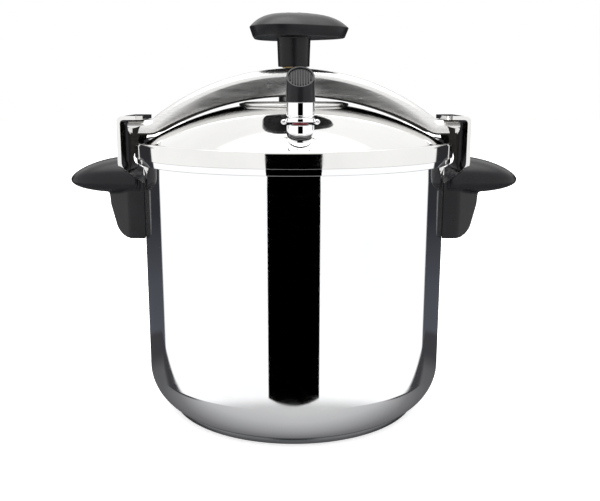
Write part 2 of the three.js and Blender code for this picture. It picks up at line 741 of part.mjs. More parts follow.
// Cap with a slanting thumb face, hollow for the spring.
function valveCap() {
  const low = sleeveTop + gap;
  const body = turned([[0, low], [capRadius, low], [capRadius - 0.4, capFront],
    [capRadius - 0.6, capTop + 2], [0, capTop + 2]], 32);
  const thumb = slabAlongSlope();
  const well = disc(4.2, low - 1, low + springWell);
  return body.subtract(thumb).subtract(well);
}

// A half space that falls from the cap's back to its front.
function slabAlongSlope() {
  const depth = 2 * capRadius;
  const angle = Math.atan2(capTop - capFront, depth);
  const cutter = new THREE.BoxGeometry(4 * capRadius, 3 * depth, 30).translate(0, 0, 15).rotateX(angle);
  return solidOf(cutter.translate(0, 0, (capTop + capFront) / 2));
}

const plungerLow = nozzleTop + gap;

function valvePlunger() {
  const top = sleeveTop + gap + plungerHead;
  return turned([[0, plungerLow], [2.5, plungerLow], [2.5, top - 1], [1.6, top], [0, top]]);
}

const springLow = sleeveTop + plungerHead + 2 * gap;
const springHigh = Math.max(sleeveTop + springWell, springLow + 4 * 2 * springWire + plungerTravel);
const valveSpring = () => spring(2, springLow, springHigh, 4);

// ---------------------------------------------------------------- safety valve

const safetyFit = lidFitting(safetyDistance, safetySpigot);
const safetySealLow = safetyFit.low - gap - valveSealHeight;
const safetyNutLow = safetySealLow - gap - valveNutHeight;
const safetyBodyLow = safetyFit.high + 1.5 + gap;
const safetyBodyTop = safetyBodyLow + safetyHeight;

const safetyBase = () => fittingBase(safetySpot, safetyRadius, safetySpigot, safetyPinRadius + 1 + gap,
  safetyNutLow - 1, safetyBodyLow - gap);
const safetySeal = () => ring(safetySpigot + gap, safetyRadius + 1.6, safetySealLow,
  safetySealLow + valveSealHeight);
const safetyNut = () => hexNut(safetyRadius + 2, safetySpigot + gap, safetyNutLow,
  safetyNutLow + valveNutHeight);

function safetyBody() {
  const bore = safetyPinRadius + 2.2;
  return turned([[bore, safetyBodyLow], [safetyRadius, safetyBodyLow], [safetyRadius, safetyBodyTop - 1],
    [safetyRadius - 1, safetyBodyTop], [safetyPinRadius + runningGap, safetyBodyTop],
    [safetyPinRadius + runningGap, safetyBodyTop - 1.2], [bore, safetyBodyTop - 1.2],
    [bore, safetyBodyLow]]);
}

const safetyDiscTop = safetyBodyLow + 2;

function safetyPin() {
  const top = safetyBodyTop + 1.5;
  const stem = safetyPinRadius;
  return turned([[0, safetyBodyLow + gap], [stem + 1.8, safetyBodyLow + gap], [stem + 1.8, safetyDiscTop],
    [stem - 0.6, safetyDiscTop], [stem - 0.6, safetyBodyTop - 2.4], [stem, safetyBodyTop - 2.4 + 0.6],
    [stem, top - 0.5], [stem - 0.5, top], [0, top]]);
}

const safetySpring = () => spring(safetyPinRadius + 0.9, safetyDiscTop + gap, safetyBodyTop - 1.2 - gap, 4);

// ---------------------------------------------------------------- assembly

const cooker = new THREE.Group();

function addPiece(parent, name, solid, material) {
  const mesh = new THREE.Mesh(geometryOf(solid), material);
  mesh.name = name;
  parent.add(mesh);
  return mesh;
}

function groupAt([x, y, z], turn = 0) {
  const group = new THREE.Group();
  group.position.set(x, y, z);
  group.rotation.z = turn;
  cooker.add(group);
  return group;
}

addPiece(cooker, 'pot_body', potBody(), mirrorSteel);
addPiece(cooker, 'base_core', baseCore(), aluminium);
addPiece(cooker, 'base_cover', baseCover(), mirrorSteel);

for (const [side, turn] of [['right', 0], ['left', Math.PI]]) {
  const mount = groupAt([0, 0, 0], turn);
  addPiece(mount, `hook_bracket_${side}`, hookBracket(), mirrorSteel);
  addPiece(mount, `handle_${side}`, handle(), bakelite);
  addPiece(mount, `handle_nut_${side}`, handleNut(), plainSteel);
  addPiece(mount, `handle_screw_${side}`, handleScrew(), plainSteel);
}

addPiece(cooker, 'lid', lid(), mirrorSteel);
addPiece(cooker, 'gasket', gasket(), rubber);
addPiece(cooker, 'pressure_plate', pressurePlate(), satinSteel);
addPiece(cooker, 'thrust_socket', thrustSocket(), plainSteel);
addPiece(cooker, 'socket_collar', socketCollar(), plainSteel);
addPiece(cooker, 'bridge', bridge(), satinSteel);
addPiece(cooker, 'bridge_bush', bridgeBush(), plainSteel);
addPiece(cooker, 'spindle', spindle(), plainSteel);
addPiece(cooker, 'knob_washer', knobWasher(), brass);
addPiece(cooker, 'knob', knob(), bakelite);
addPiece(cooker, 'knob_nut', knobNut(), plainSteel);
addPiece(cooker, 'knob_cap', knobCap(), satinSteel);

const valve = groupAt(valveSpot);
addPiece(cooker, 'valve_base', valveBase(), satinSteel);
addPiece(cooker, 'valve_cup', valveCup(), chrome);
addPiece(valve, 'valve_seal', valveSeal(), rubber);
addPiece(valve, 'valve_nut', valveNut(), plainSteel);
addPiece(valve, 'valve_nozzle', valveNozzle(), plainSteel);
addPiece(valve, 'indicator_ring', indicatorRing(), redPlastic);
addPiece(valve, 'valve_ring', valveRing(), chrome);
addPiece(valve, 'valve_sleeve', valveSleeve(), chrome);
addPiece(valve, 'valve_cap', valveCap(), bakelite);
addPiece(valve, 'valve_plunger', valvePlunger(), plainSteel);
addPiece(valve, 'valve_spring', valveSpring(), plainSteel);

const safety = groupAt(safetySpot);
addPiece(cooker, 'safety_base', safetyBase(), satinSteel);
addPiece(safety, 'safety_seal', safetySeal(), rubber);
addPiece(safety, 'safety_nut', safetyNut(), plainSteel);
addPiece(safety, 'safety_body', safetyBody(), satinSteel);
addPiece(safety, 'safety_pin', safetyPin(), plainSteel);
addPiece(safety, 'safety_spring', safetySpring(), plainSteel);

export default cooker;
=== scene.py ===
"""Stovetop pressure cooker: a mirror-polished pot whose lid is held by a hooked bridge and a screw knob."""

import logging
import math
from dataclasses import dataclass, field
from enum import Enum
from typing import Iterable, Sequence

import bmesh
import bpy
from bmesh.types import BMesh, BMVert
from mathutils import Matrix, Vector


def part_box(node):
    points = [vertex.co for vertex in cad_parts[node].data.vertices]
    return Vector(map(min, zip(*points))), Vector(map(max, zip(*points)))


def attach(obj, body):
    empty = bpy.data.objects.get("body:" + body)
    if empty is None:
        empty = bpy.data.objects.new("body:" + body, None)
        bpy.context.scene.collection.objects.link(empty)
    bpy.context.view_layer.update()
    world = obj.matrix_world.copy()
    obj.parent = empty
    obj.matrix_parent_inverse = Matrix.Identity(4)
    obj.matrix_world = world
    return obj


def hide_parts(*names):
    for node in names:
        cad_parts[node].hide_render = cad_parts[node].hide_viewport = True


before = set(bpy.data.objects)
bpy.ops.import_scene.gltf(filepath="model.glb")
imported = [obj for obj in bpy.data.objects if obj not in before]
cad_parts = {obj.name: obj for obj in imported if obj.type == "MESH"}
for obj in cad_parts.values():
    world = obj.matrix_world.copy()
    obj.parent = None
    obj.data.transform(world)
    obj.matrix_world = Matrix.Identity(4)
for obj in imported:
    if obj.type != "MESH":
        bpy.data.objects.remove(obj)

logging.basicConfig(level=logging.INFO, format="%(message)s")
log = logging.getLogger("cooker")

MM = 0.001
Corner = tuple[float, ...]
Line = list[tuple[float, float]]
Colour = tuple[float, float, float]
Socket = bpy.types.NodeSocket
WHOLE_TURN = 2 * math.pi
CREASE = math.radians(35)


class Side(Enum):
    """The two ends of the pot, as turns about its axis."""

    RIGHT = 0.0
    LEFT = math.pi

    @property
    def tag(self) -> str:
        """The word used in piece names."""
        return self.name.lower()


class Rides(Enum):
    """The moving groups of the cooker."""

    POT = "pot"
    LID = "lid"
    BRIDGE = "bridge"
    KNOB = "knob"
    INDICATOR = "indicator"
    COLLAR = "valve_collar"
    HEAD = "valve_head"
    PIN = "safety_pin"


# ---------------------------------------------------------------- finishes


class NodeSheet:
    """One material's nodes, laid out round its principled shader."""

    def __init__(self, name: str) -> None:
        """Starts a material.

        Args:
            name: the finish's name.
        """
        self.material = bpy.data.materials.new(name)
        self.material.use_nodes = True
        self.tree = self.material.node_tree
        self.shader = self.tree.nodes["Principled BSDF"]
        self.place = self.add("ShaderNodeTexCoord").outputs["Object"]

    def add(self, kind: str, **values: object) -> bpy.types.Node:
        """Adds a node.

        Args:
            kind: the node's type name.
            values: attributes of the node, or values of its inputs.

        Returns:
            The new node.
        """
        node = self.tree.nodes.new(kind)
        for key, value in values.items():
            if key in node.inputs:
                node.inputs[key].default_value = value
            else:
                setattr(node, key, value)
        return node

    def link(self, start: Socket, end: Socket) -> None:
        """Joins two sockets."""
        self.tree.links.new(start, end)

    def set(self, **values: object) -> None:
        """Sets the shader's own inputs, with underscores for the spaces in their names."""
        for key, value in values.items():
            self.shader.inputs[key.replace("_", " ")].default_value = value

    def noise(self, scale: float, stretch: Sequence[float] = (1, 1, 1), detail: float = 3.0) -> Socket:
        """A noise in the piece's own space.

        Args:
            scale: grains per metre.
            stretch: how much finer the grain is along each axis.
            detail: octaves of the noise.

        Returns:
            The socket that carries the noise, from 0 to 1.
        """
        mapping = self.add("ShaderNodeMapping", Scale=tuple(stretch))
        self.link(self.place, mapping.inputs["Vector"])
        noise = self.add("ShaderNodeTexNoise", Scale=scale, Detail=detail, Roughness=0.55)
        self.link(mapping.outputs["Vector"], noise.inputs["Vector"])
        return noise.outputs["Fac"]

    def spread(self, source: Socket, low: float, high: float, target: str) -> None:
        """Drives a shader input between two values.

        Args:
            source: a value from 0 to 1.
            low: the input's value at 0.3.
            high: the input's value at 0.7.
            target: the name of the shader's input.
        """
        span = self.add("ShaderNodeMapRange")
        for socket, value in zip(span.inputs[1:5], (0.3, 0.7, low, high)):
            socket.default_value = value
        self.link(source, span.inputs["Value"])
        self.link(span.outputs["Result"], self.shader.inputs[target])

    def tint(self, source: Socket, dark: Sequence[float], light: Sequence[float]) -> None:
        """Colours the piece between two shades.

        Args:
            source: a value from 0 to 1.
            dark: colour at the low end.
            light: colour at the high end.
        """
        ramp = self.add("ShaderNodeValToRGB")
        ramp.color_ramp.elements[0].position = 0.3
        ramp.color_ramp.elements[1].position = 0.7
        ramp.color_ramp.elements[0].color = (*dark, 1)
        ramp.color_ramp.elements[1].color = (*light, 1)
        self.link(source, ramp.inputs["Fac"])
        self.link(ramp.outputs["Color"], self.shader.inputs["Base Color"])

    def emboss(self, sources: Iterable[tuple[Socket, float, float]]) -> None:
        """Chains bumps into the shader's normal.

        Args:
            sources: height socket, strength and height in millimetres of each bump.
        """
        before = None
        for source, strength, height in sources:
            bump = self.add("ShaderNodeBump", Strength=strength, Distance=height * MM)
            self.link(source, bump.inputs["Height"])
            if before is not None:
                self.link(before, bump.inputs["Normal"])
            before = bump.outputs["Normal"]
        self.link(before, self.shader.inputs["Normal"])


@dataclass(frozen=True)
class Polished:
    """Bright sheet metal with faint wiping marks and a trace of waviness."""

    name: str
    slot: str
    dark: Colour = (0.88, 0.885, 0.895)
    light: Colour = (0.94, 0.945, 0.95)
    gloss: tuple[float, float] = (0.015, 0.05)
    wave: float = 0.02

    def make(self) -> bpy.types.Material:
        """Builds the material."""
        sheet = NodeSheet(self.name)
        sheet.set(Metallic=1.0)
        sheet.tint(sheet.noise(14, detail=4), self.dark, self.light)
        sheet.spread(sheet.noise(60, (1, 1, 4), 6), *self.gloss, "Roughness")
        waves, marks = sheet.noise(9, detail=1), sheet.noise(2600, (1, 1, 3))
        sheet.emboss([(waves, 0.25, self.wave), (marks, 0.04, 0.01)])
        return sheet.material


@dataclass(frozen=True)
class Brushed:
    """Steel with a fine directional grain."""

    name: str
    slot: str
    dark: Colour = (0.68, 0.675, 0.665)
    light: Colour = (0.78, 0.775, 0.765)
    gloss: tuple[float, float] = (0.2, 0.28)
    grain: tuple[float, float, float] = (1, 10, 24)
    depth: float = 0.006

    def make(self) -> bpy.types.Material:
        """Builds the material."""
        sheet = NodeSheet(self.name)
        sheet.set(Metallic=1.0, Anisotropic=0.3)
        strokes = sheet.noise(70, self.grain, 5)
        sheet.tint(strokes, self.dark, self.light)
        sheet.spread(sheet.noise(34, (1, 4, 8), 5), *self.gloss, "Roughness")
        sheet.emboss([(sheet.noise(14, detail=1), 0.15, 0.03), (strokes, 0.2, self.depth)])
        return sheet.material


@dataclass(frozen=True)
class Moulded:
    """Moulded plastic or rubber: a soft gloss over a fine skin."""

    name: str
    slot: str
    dark: Colour
    light: Colour
    gloss: tuple[float, float]
    skin: float = 0.03
    specular: float = 0.5

    def make(self) -> bpy.types.Material:
        """Builds the material."""
        sheet = NodeSheet(self.name)
        sheet.set(Specular_IOR_Level=self.specular)
        sheet.tint(sheet.noise(40, detail=4), self.dark, self.light)
        sheet.spread(sheet.noise(120, detail=5), *self.gloss, "Roughness")
        swells, pores = sheet.noise(30, detail=2), sheet.noise(1500, detail=3)
        sheet.emboss([(swells, 0.15, 0.12), (pores, 0.35, self.skin)])
        return sheet.material


@dataclass
class FinishShelf:
    """Every finish of the cooker, each made once."""

    mirror: Polished = Polished("mirror polished steel", "mirror_steel")
    pressed: Polished = Polished("pressed lid steel", "mirror_steel", (0.76, 0.755, 0.74), (0.84, 0.835, 0.82),
                                 (0.03, 0.08), 0.03)
    bracket: Polished = Polished("polished strap steel", "bracket_steel", (0.72, 0.715, 0.705),
                                 (0.8, 0.795, 0.785), (0.05, 0.12), 0.05)
    chrome: Polished = Polished("bright chrome", "chrome", (0.9, 0.905, 0.92), (0.96, 0.96, 0.965),
                                (0.01, 0.03), 0.004)
    # The base cup's steel is darkened as painted shade, standing in for the shadowed floor it would mirror.
    base: Polished = Polished("base steel darkened for painted shade", "mirror_steel", (0.13, 0.132, 0.138), (0.17, 0.172, 0.178),
                              (0.16, 0.24), 0.02)
    satin: Brushed = Brushed("satin bridge steel", "satin_steel")
    cast: Brushed = Brushed("cast collar steel", "satin_steel", (0.13, 0.13, 0.135), (0.2, 0.2, 0.205),
                            (0.35, 0.5))
    # Near-black steel laid on the bridge channel's inside and lower edge as painted shade.
    channel_shade: Brushed = Brushed("unpolished steel", "satin_steel", (0.02, 0.019, 0.018), (0.04, 0.038, 0.036),
                              (0.4, 0.55))
    turned: Brushed = Brushed("turned steel", "plain_steel", (0.42, 0.42, 0.43), (0.6, 0.6, 0.61),
                              (0.25, 0.42), (1, 1, 30))
    aluminium: Brushed = Brushed("pressed aluminium", "aluminium", (0.5, 0.51, 0.52), (0.66, 0.67, 0.69),
                                 (0.35, 0.5))
    brass: Brushed = Brushed("brass", "brass", (0.52, 0.36, 0.14), (0.7, 0.5, 0.22), (0.25, 0.4), (1, 1, 30))
    bakelite: Moulded = Moulded("black bakelite", "bakelite", (0.0055, 0.0055, 0.0068), (0.008, 0.008, 0.0095),
                                (0.26, 0.34), specular=0.24)
    rubber: Moulded = Moulded("grey silicone", "rubber", (0.05, 0.05, 0.052), (0.075, 0.075, 0.08),
                              (0.6, 0.75), 0.05)
    red: Moulded = Moulded("red indicator plastic", "red_plastic", (0.2, 0.012, 0.02), (0.3, 0.018, 0.028),
                           (0.28, 0.4))
    made: dict[str, bpy.types.Material] = field(default_factory=dict)

    def take(self, finish: Polished | Brushed | Moulded) -> bpy.types.Material:
        """Gives the material of a finish.

        Args:
            finish: one of the shelf's finishes.

        Returns:
            Its material, made at the first call.
        """
        if finish.name not in self.made:
            self.made[finish.name] = finish.make()
        return self.made[finish.name]


Finish = Polished | Brushed | Moulded


# ---------------------------------------------------------------- shapes


def eased(corners: Sequence[Corner], steps: int = 5) -> Line:
    """Rounds the corners of an outline.

    Args:
        corners: points as (across, up), with the corner's radius as a third value where it is rounded.
        steps: segments of each rounded corner.

    Returns:
        The outline as plain points.
    """
    line: Line = []
    for i, corner in enumerate(corners):
        here = Vector(corner[:2])
        if len(corner) < 3 or i in (0, len(corners) - 1):
            line.append((here.x, here.y))
            continue
        back, ahead = Vector(corners[i - 1][:2]) - here, Vector(corners[i + 1][:2]) - here
        half = back.angle(ahead) / 2
        longest = 0.48 * min(back.length, ahead.length)
        cut = min(corner[2] / math.tan(half), longest)
        radius = cut * math.tan(half)
        centre = here + (back.normalized() + ahead.normalized()).normalized() * (radius / math.sin(half))
        start, end = here + back.normalized() * cut - centre, here + ahead.normalized() * cut - centre
        first = math.atan2(start.y, start.x)
        sweep = math.remainder(math.atan2(end.y, end.x) - first, WHOLE_TURN)
        for step in range(steps + 1):
            angle = first + sweep * step / steps
            line.append((centre.x + radius * math.cos(angle), centre.y + radius * math.sin(angle)))
    return line


def bow(across: float, up: float, radius: float, start: float, end: float, steps: int) -> Line:
    """Points of an arc.

    Args:
        across: centre of the arc.
        up: centre of the arc.
        radius: its radius.
        start: first angle in degrees.
        end: last angle in degrees.
        steps: number of segments.

    Returns:
        The arc's points.
    """
    angles = [math.radians(start + (end - start) * i / steps) for i in range(steps + 1)]
    return [(across + radius * math.cos(a), up + radius * math.sin(a)) for a in angles]


def closed_up(shape: BMesh) -> BMesh:
    """Merges doubled points and turns every face outward."""
    bmesh.ops.remove_doubles(shape, verts=shape.verts, dist=1e-7)
    bmesh.ops.dissolve_degenerate(shape, edges=shape.edges, dist=1e-8)
    bmesh.ops.recalc_face_normals(shape, faces=shape.faces)
    return shape


def moved(shape: BMesh, way: Sequence[float]) -> BMesh:
    """Shifts a shape by so many millimetres along each axis."""
    bmesh.ops.translate(shape, verts=shape.verts, vec=Vector(way) * MM)
    return shape


def rotated(shape: BMesh, angle: float, axis: str) -> BMesh:
    """Turns a shape about one of the frame's axes."""
    bmesh.ops.rotate(shape, verts=shape.verts, cent=(0, 0, 0), matrix=Matrix.Rotation(angle, 3, axis))
    return shape


def turned(outline: Line, steps: int, spot: Sequence[float] = (0, 0)) -> BMesh:
    """Turns an outline about an upright axis.

    Args:
        outline: (radius, height) points in millimetres, closing on the axis or on themselves.
        steps: segments round the axis.
        spot: where the axis stands, in millimetres.

    Returns:
        The closed solid, in metres.
    """
    shape = bmesh.new()
    line = [shape.verts.new((r * MM, 0, z * MM)) for r, z in outline]
    pairs = list(zip(line, line[1:]))
    if max(outline[0][0], outline[-1][0]) > 0:
        pairs.append((line[-1], line[0]))
    edges = [shape.edges.new(pair) for pair in pairs]
    bmesh.ops.spin(shape, geom=[*line, *edges], cent=(0, 0, 0), axis=(0, 0, 1), angle=WHOLE_TURN, steps=steps,
                   use_merge=True)
    return closed_up(moved(shape, (*spot, 0)))


def turned_lying(outline: Line, steps: int, height: float) -> BMesh:
    """Turns an outline of (radius, distance along X) points about a level axis.

    Args:
        outline: points in millimetres.
        steps: segments round the axis.
        height: the axis's height.

    Returns:
        The closed solid, in metres.
    """
    return moved(rotated(turned(outline, steps), math.pi / 2, "Y"), (0, 0, height))


def lofted(rings: Sequence[Sequence[Vector]], looped: bool = True, capped: bool = True) -> BMesh:
    """Extrudes a row of points from ring to ring.

    Args:
        rings: rows of equally many points in millimetres.
        looped: whether each row closes on itself.
        capped: whether the first and last rows are filled.

    Returns:
        The shape, in metres.
    """
    shape = bmesh.new()
    row = [shape.verts.new(point * MM) for point in rings[0]]

    def hoop(points: list[BMVert]) -> list[tuple[BMVert, BMVert]]:
        """Neighbouring points of a row, in pairs."""
        return list(zip(points, points[1:] + points[:1] if looped else points[1:]))

    edges = [shape.edges.new(pair) for pair in hoop(row)]
    ends = [edges]
    for ring in rings[1:]:
        made = bmesh.ops.extrude_edge_only(shape, edges=edges)["geom"]
        fresh = {item for item in made if isinstance(item, BMVert)}
        row = [next(e.other_vert(v) for e in v.link_edges if e.other_vert(v) in fresh) for v in row]
        for vert, point in zip(row, ring):
            vert.co = point * MM
        edges = [shape.edges.get(pair) for pair in hoop(row)]
    ends.append(edges)
    if capped:
        for end in ends:
            bmesh.ops.contextual_create(shape, geom=end)
    return closed_up(shape)


def joined(shapes: Sequence[BMesh]) -> BMesh:
    """Puts several shapes in one."""
    whole = bmesh.new()
    for shape in shapes:
        part = bpy.data.meshes.new("part")
        shape.to_mesh(part)
        shape.free()
        whole.from_mesh(part)
        bpy.data.meshes.remove(part)
    return whole


def spun(shape: BMesh, side: Side) -> BMesh:
    """A copy of a right-hand shape, turned to its side of the pot."""
    return rotated(shape.copy(), side.value, "Z")


def cleared(thing: bpy.types.Object) -> None:
    """Removes an object with its mesh."""
    mesh = thing.data
    bpy.data.objects.remove(thing)
    bpy.data.meshes.remove(mesh)


def put_out(name: str, shape: BMesh) -> bpy.types.Object:
    """Makes an object of a shape and links it to the scene.

    Args:
        name: the object's name.
        shape: its mesh, freed afterwards.

    Returns:
        The object, at the origin.
    """
    mesh = bpy.data.meshes.new(name)
    shape.to_mesh(mesh)
    shape.free()
    thing = bpy.data.objects.new(name, mesh)
    bpy.context.scene.collection.objects.link(thing)
    return thing


def settled(thing: bpy.types.Object) -> BMesh:
    """Takes an object with its modifiers as a shape, and removes the object."""
    shape = bmesh.new()
    shape.from_object(thing, bpy.context.evaluated_depsgraph_get())
    cleared(thing)
    return shape


def carved(blank: BMesh, tools: Sequence[BMesh], operation: str = "DIFFERENCE") -> BMesh:
    """Works a solid with other solids.

    Args:
        blank: the solid that is worked.
        tools: the solids it is worked with.
        operation: DIFFERENCE, UNION or INTERSECT.

    Returns:
        The worked solid.
    """
    thing = put_out("blank", blank)
    cutters = [put_out("tool", tool) for tool in tools]
    for cutter in cutters:
        cut = thing.modifiers.new("cut", "BOOLEAN")
        cut.operation = operation
        cut.solver = "EXACT"
        cut.object = cutter
    shape = settled(thing)
    for cutter in cutters:
        cleared(cutter)
    bmesh.ops.remove_doubles(shape, verts=shape.verts, dist=1e-6)
    return shape


def fused(shapes: Sequence[BMesh], grain: float, rounds: int) -> BMesh:
    """Melts overlapping solids into one moulded solid with soft edges.

    Args:
        shapes: the overlapping solids.
        grain: size of the mesh in millimetres.
        rounds: smoothing passes.

    Returns:
        The moulded solid.
    """
    thing = put_out("melt", joined(shapes))
    melt = thing.modifiers.new("melt", "REMESH")
    melt.mode = "VOXEL"
    melt.voxel_size = grain * MM
    shape = settled(thing)
    for _ in range(rounds):
        bmesh.ops.smooth_vert(shape, verts=shape.verts, factor=0.5, use_axis_x=True, use_axis_y=True,
                              use_axis_z=True)
    return shape


def standing(distance: float, angle: float) -> tuple[float, float]:
    """The place at a distance from the pot's axis, at an angle in degrees."""
    turn = math.radians(angle)
    return (distance * math.cos(turn), distance * math.sin(turn))


@dataclass
class Bench:
    """Dresses shapes in their finishes and sets them on the frame."""

    shelf: FinishShelf

    def set_out(
        self, name: str, shape: BMesh, finish: Finish, rides: Rides, stands_for: Sequence[str] = (),
        edge: float = 0.0,
    ) -> bpy.types.Object:
        """Makes a finished piece.

        Args:
            name: the piece's name.
            shape: its mesh in metres.
            finish: its finish.
            rides: the group it moves with.
            stands_for: frame nodes it replaces.
            edge: width in millimetres of the softening of its sharp edges.

        Returns:
            The piece.
        """
        thing = put_out(name, shape)
        thing.data.materials.append(self.shelf.take(finish))
        thing.data.shade_smooth()
        if edge:
            soften = thing.modifiers.new("softened edges", "BEVEL")
            soften.width = edge * MM
            soften.segments = 3
            soften.limit_method = "ANGLE"
            soften.angle_limit = CREASE
            soften.harden_normals = True
        else:
            thing.data.set_sharp_from_angle(angle=CREASE)
        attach(thing, rides.value)
        if stands_for:
            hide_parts(*stands_for)
        log.info("%s: %d faces, %s", name, len(thing.data.polygons), finish.name)
        return thing

    def second_finish(
        self, thing: bpy.types.Object, finish: Finish, faces: Iterable[bpy.types.MeshPolygon]
    ) -> None:
        """Gives some faces of a piece another finish.

        Args:
            thing: the piece.
            finish: the second finish.
            faces: the faces that take it.
        """
        thing.data.materials.append(self.shelf.take(finish))
        for face in faces:
            face.material_index = 1

    def repaint(self, finish: Finish, *nodes: str) -> None:
        """Gives carried frame nodes a better finish.

        Args:
            finish: the finish.
            nodes: names of the frame's nodes.
        """
        for node in nodes:
            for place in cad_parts[node].material_slots:
                place.material = self.shelf.take(finish)
            log.info("%s: kept, %s", node, finish.name)


# ---------------------------------------------------------------- pot


@dataclass
class Pot:
    """The pot's shell with its rolled rim, and the steel cup pressed round its base."""

    bench: Bench
    wall: float = 120.0
    sheet: float = 0.8
    sweep: float = 33.6
    sweep_low: float = 0.45
    rim: float = 124.5
    rim_top: float = 208.0
    hem: float = 199.4
    floor: float = 4.6
    base: float = 101.7
    core: float = 97.0
    gap: float = 0.3
    wall_top: float = 190.0
    facets: int = 256

    def corner(self, inset: float, floor: float) -> Line:
        """The sweep from the floor up to the wall.

        Args:
            inset: distance inside the outer surface.
            floor: height at which the sweep starts.

        Returns:
            Its points from the floor to the wall.
        """
        radius = self.sweep - inset
        up = self.sweep_low + self.sweep
        start = math.degrees(math.asin((floor - up) / radius))
        return bow(self.wall - self.sweep, up, radius, start, 0, 28)

    def shell(self) -> BMesh:
        """The drawn steel pot."""
        outside = [(0, self.floor), *self.corner(0, self.floor)]
        under, bore, fold = self.rim_top - self.sheet, self.wall - self.sheet, self.rim - self.sheet
        roll = eased([(self.wall, self.wall_top), (self.wall, under, 0.6), (fold, under, 0.6),
                      (fold, self.hem, 0.25), (self.rim, self.hem, 0.35), (self.rim, self.rim_top, 1.4),
                      (bore, self.rim_top, 0.7), (bore, self.wall_top)])
        inside = [*reversed(self.corner(self.sheet, self.floor + self.sheet)), (0, self.floor + self.sheet)]
        return turned([*outside, *roll, *inside], self.facets)

    def cup(self) -> BMesh:
        """The steel cup under the pot, with shallow rings pressed into its underside."""
        top = self.floor - self.gap
        rings: list[Corner] = [(0, 0.5)]
        for radius in (22.0, 42.0):
            rings += [(radius - 1.2, 0.5, 0.6), (radius - 0.4, 0.8, 0.4), (radius + 0.4, 0.8, 0.4),
                      (radius + 1.2, 0.5, 0.6)]
        rings += [(62.0, 0.5, 0.6), (63.0, 0.0, 0.6), (self.base, 0.0, 1.2), (self.base, top, 0.4),
                  (self.core + self.gap, top, 0.2), (self.core + self.gap, 1.3, 0.3), (0, 1.3)]
        return turned(eased(rings), self.facets)

    def build(self) -> None:
        """Sets out the pot."""
        shelf = self.bench.shelf
        self.bench.set_out("pot_shell", self.shell(), shelf.mirror, Rides.POT, ["pot_body"])
        # The cup takes the darkened steel, a painted shade.
        self.bench.set_out("base_cup", self.cup(), shelf.base, Rides.POT, ["base_cover"])
        self.bench.repaint(shelf.aluminium, "base_core")


# ---------------------------------------------------------------- hooks and handles


@dataclass
class Hook:
    """The bent steel strap on one side, whose lip holds the bridge's end."""

    bench: Bench
    thick: float = 3.0
    half_width: float = 23.5
    foot: float = 142.0
    heel: float = 184.5
    knee: float = 194.5
    plate: float = 121.8
    upright: float = 136.0
    lip: float = 233.5
    lip_end: float = 117.5
    lip_round: float = 5.0
    bend: float = 5.0
    hole: float = 2.7

    def path(self) -> list[tuple[Vector, Vector]]:
        """The strap's middle line as points with directions, in the XZ plane, up to the lip's level run."""
        corners = ((self.plate, self.foot), (self.plate, self.heel), (self.upright, self.knee),
                   (self.upright, self.lip), (self.lip_end, self.lip))
        turns = [Vector((x, 0, z)) for x, z in corners]
        stations = [(turns[0], (turns[1] - turns[0]).normalized())]
        for before, here, after in zip(turns, turns[1:], turns[2:]):
            start = here + (before - here).normalized() * self.bend
            end = here + (after - here).normalized() * self.bend
            for step in range(11):
                t = step / 10
                point = start * (1 - t) ** 2 + here * (2 * t * (1 - t)) + end * t**2
                along = (here - start) * (1 - t) + (end - here) * t
                stations.append((point, along.normalized()))
        return stations

    def across(self, half_width: float) -> list[tuple[float, float]]:
        """Places across the strap, each with how far its end stands back where the lip's corner is rounded."""
        flat = half_width - self.lip_round
        side = [(flat + self.lip_round * math.sin(a), self.lip_round * (1 - math.cos(a)))
                for a in (math.radians(9 * i) for i in range(11))]
        return [(-y, back) for y, back in reversed(side)] + side

    def strap(self, thick: float, half_width: float) -> BMesh:
        """The bent strap.

        Args:
            thick: its thickness.
            half_width: half its width.

        Returns:
            The strap on the right-hand side.
        """
        places = self.across(half_width)
        outline = [(y, back, thick / 2) for y, back in places]
        outline += [(y, back, -thick / 2) for y, back in reversed(places)]

        def ring(point: Vector, along: Vector, share: float) -> list[Vector]:
            """The strap's outline set across a point of its path, with a share of the rounded end's set-back."""
            up = Vector((-along.z, 0, along.x))
            return [Vector((point.x + up.x * rise + share * back, y, point.z + up.z * rise))
                    for y, back, rise in outline]

        rings = [ring(point, along, 0.0) for point, along in self.path()]
        start = self.upright - self.bend
        for step in range(1, 7):
            share = step / 6
            point = Vector((start + (self.lip_end - start) * share, 0, self.lip))
            rings.append(ring(point, Vector((-1, 0, 0)), share))
        return lofted(rings)

    def build(self, side: Side, bolt: float) -> None:
        """Sets out the hook on one side.

        Args:
            side: which side.
            bolt: height of the handle's screw.
        """
        inner, outer = self.plate - 4, self.plate + 4
        hole = turned_lying([(0, inner), (self.hole, inner), (self.hole, outer), (0, outer)], 32, bolt)
        strap = carved(self.strap(self.thick, self.half_width), [hole])
        self.bench.set_out(f"hook_strap_{side.tag}", spun(strap, side), self.bench.shelf.bracket, Rides.POT,
                           [f"hook_bracket_{side.tag}"], 0.45)


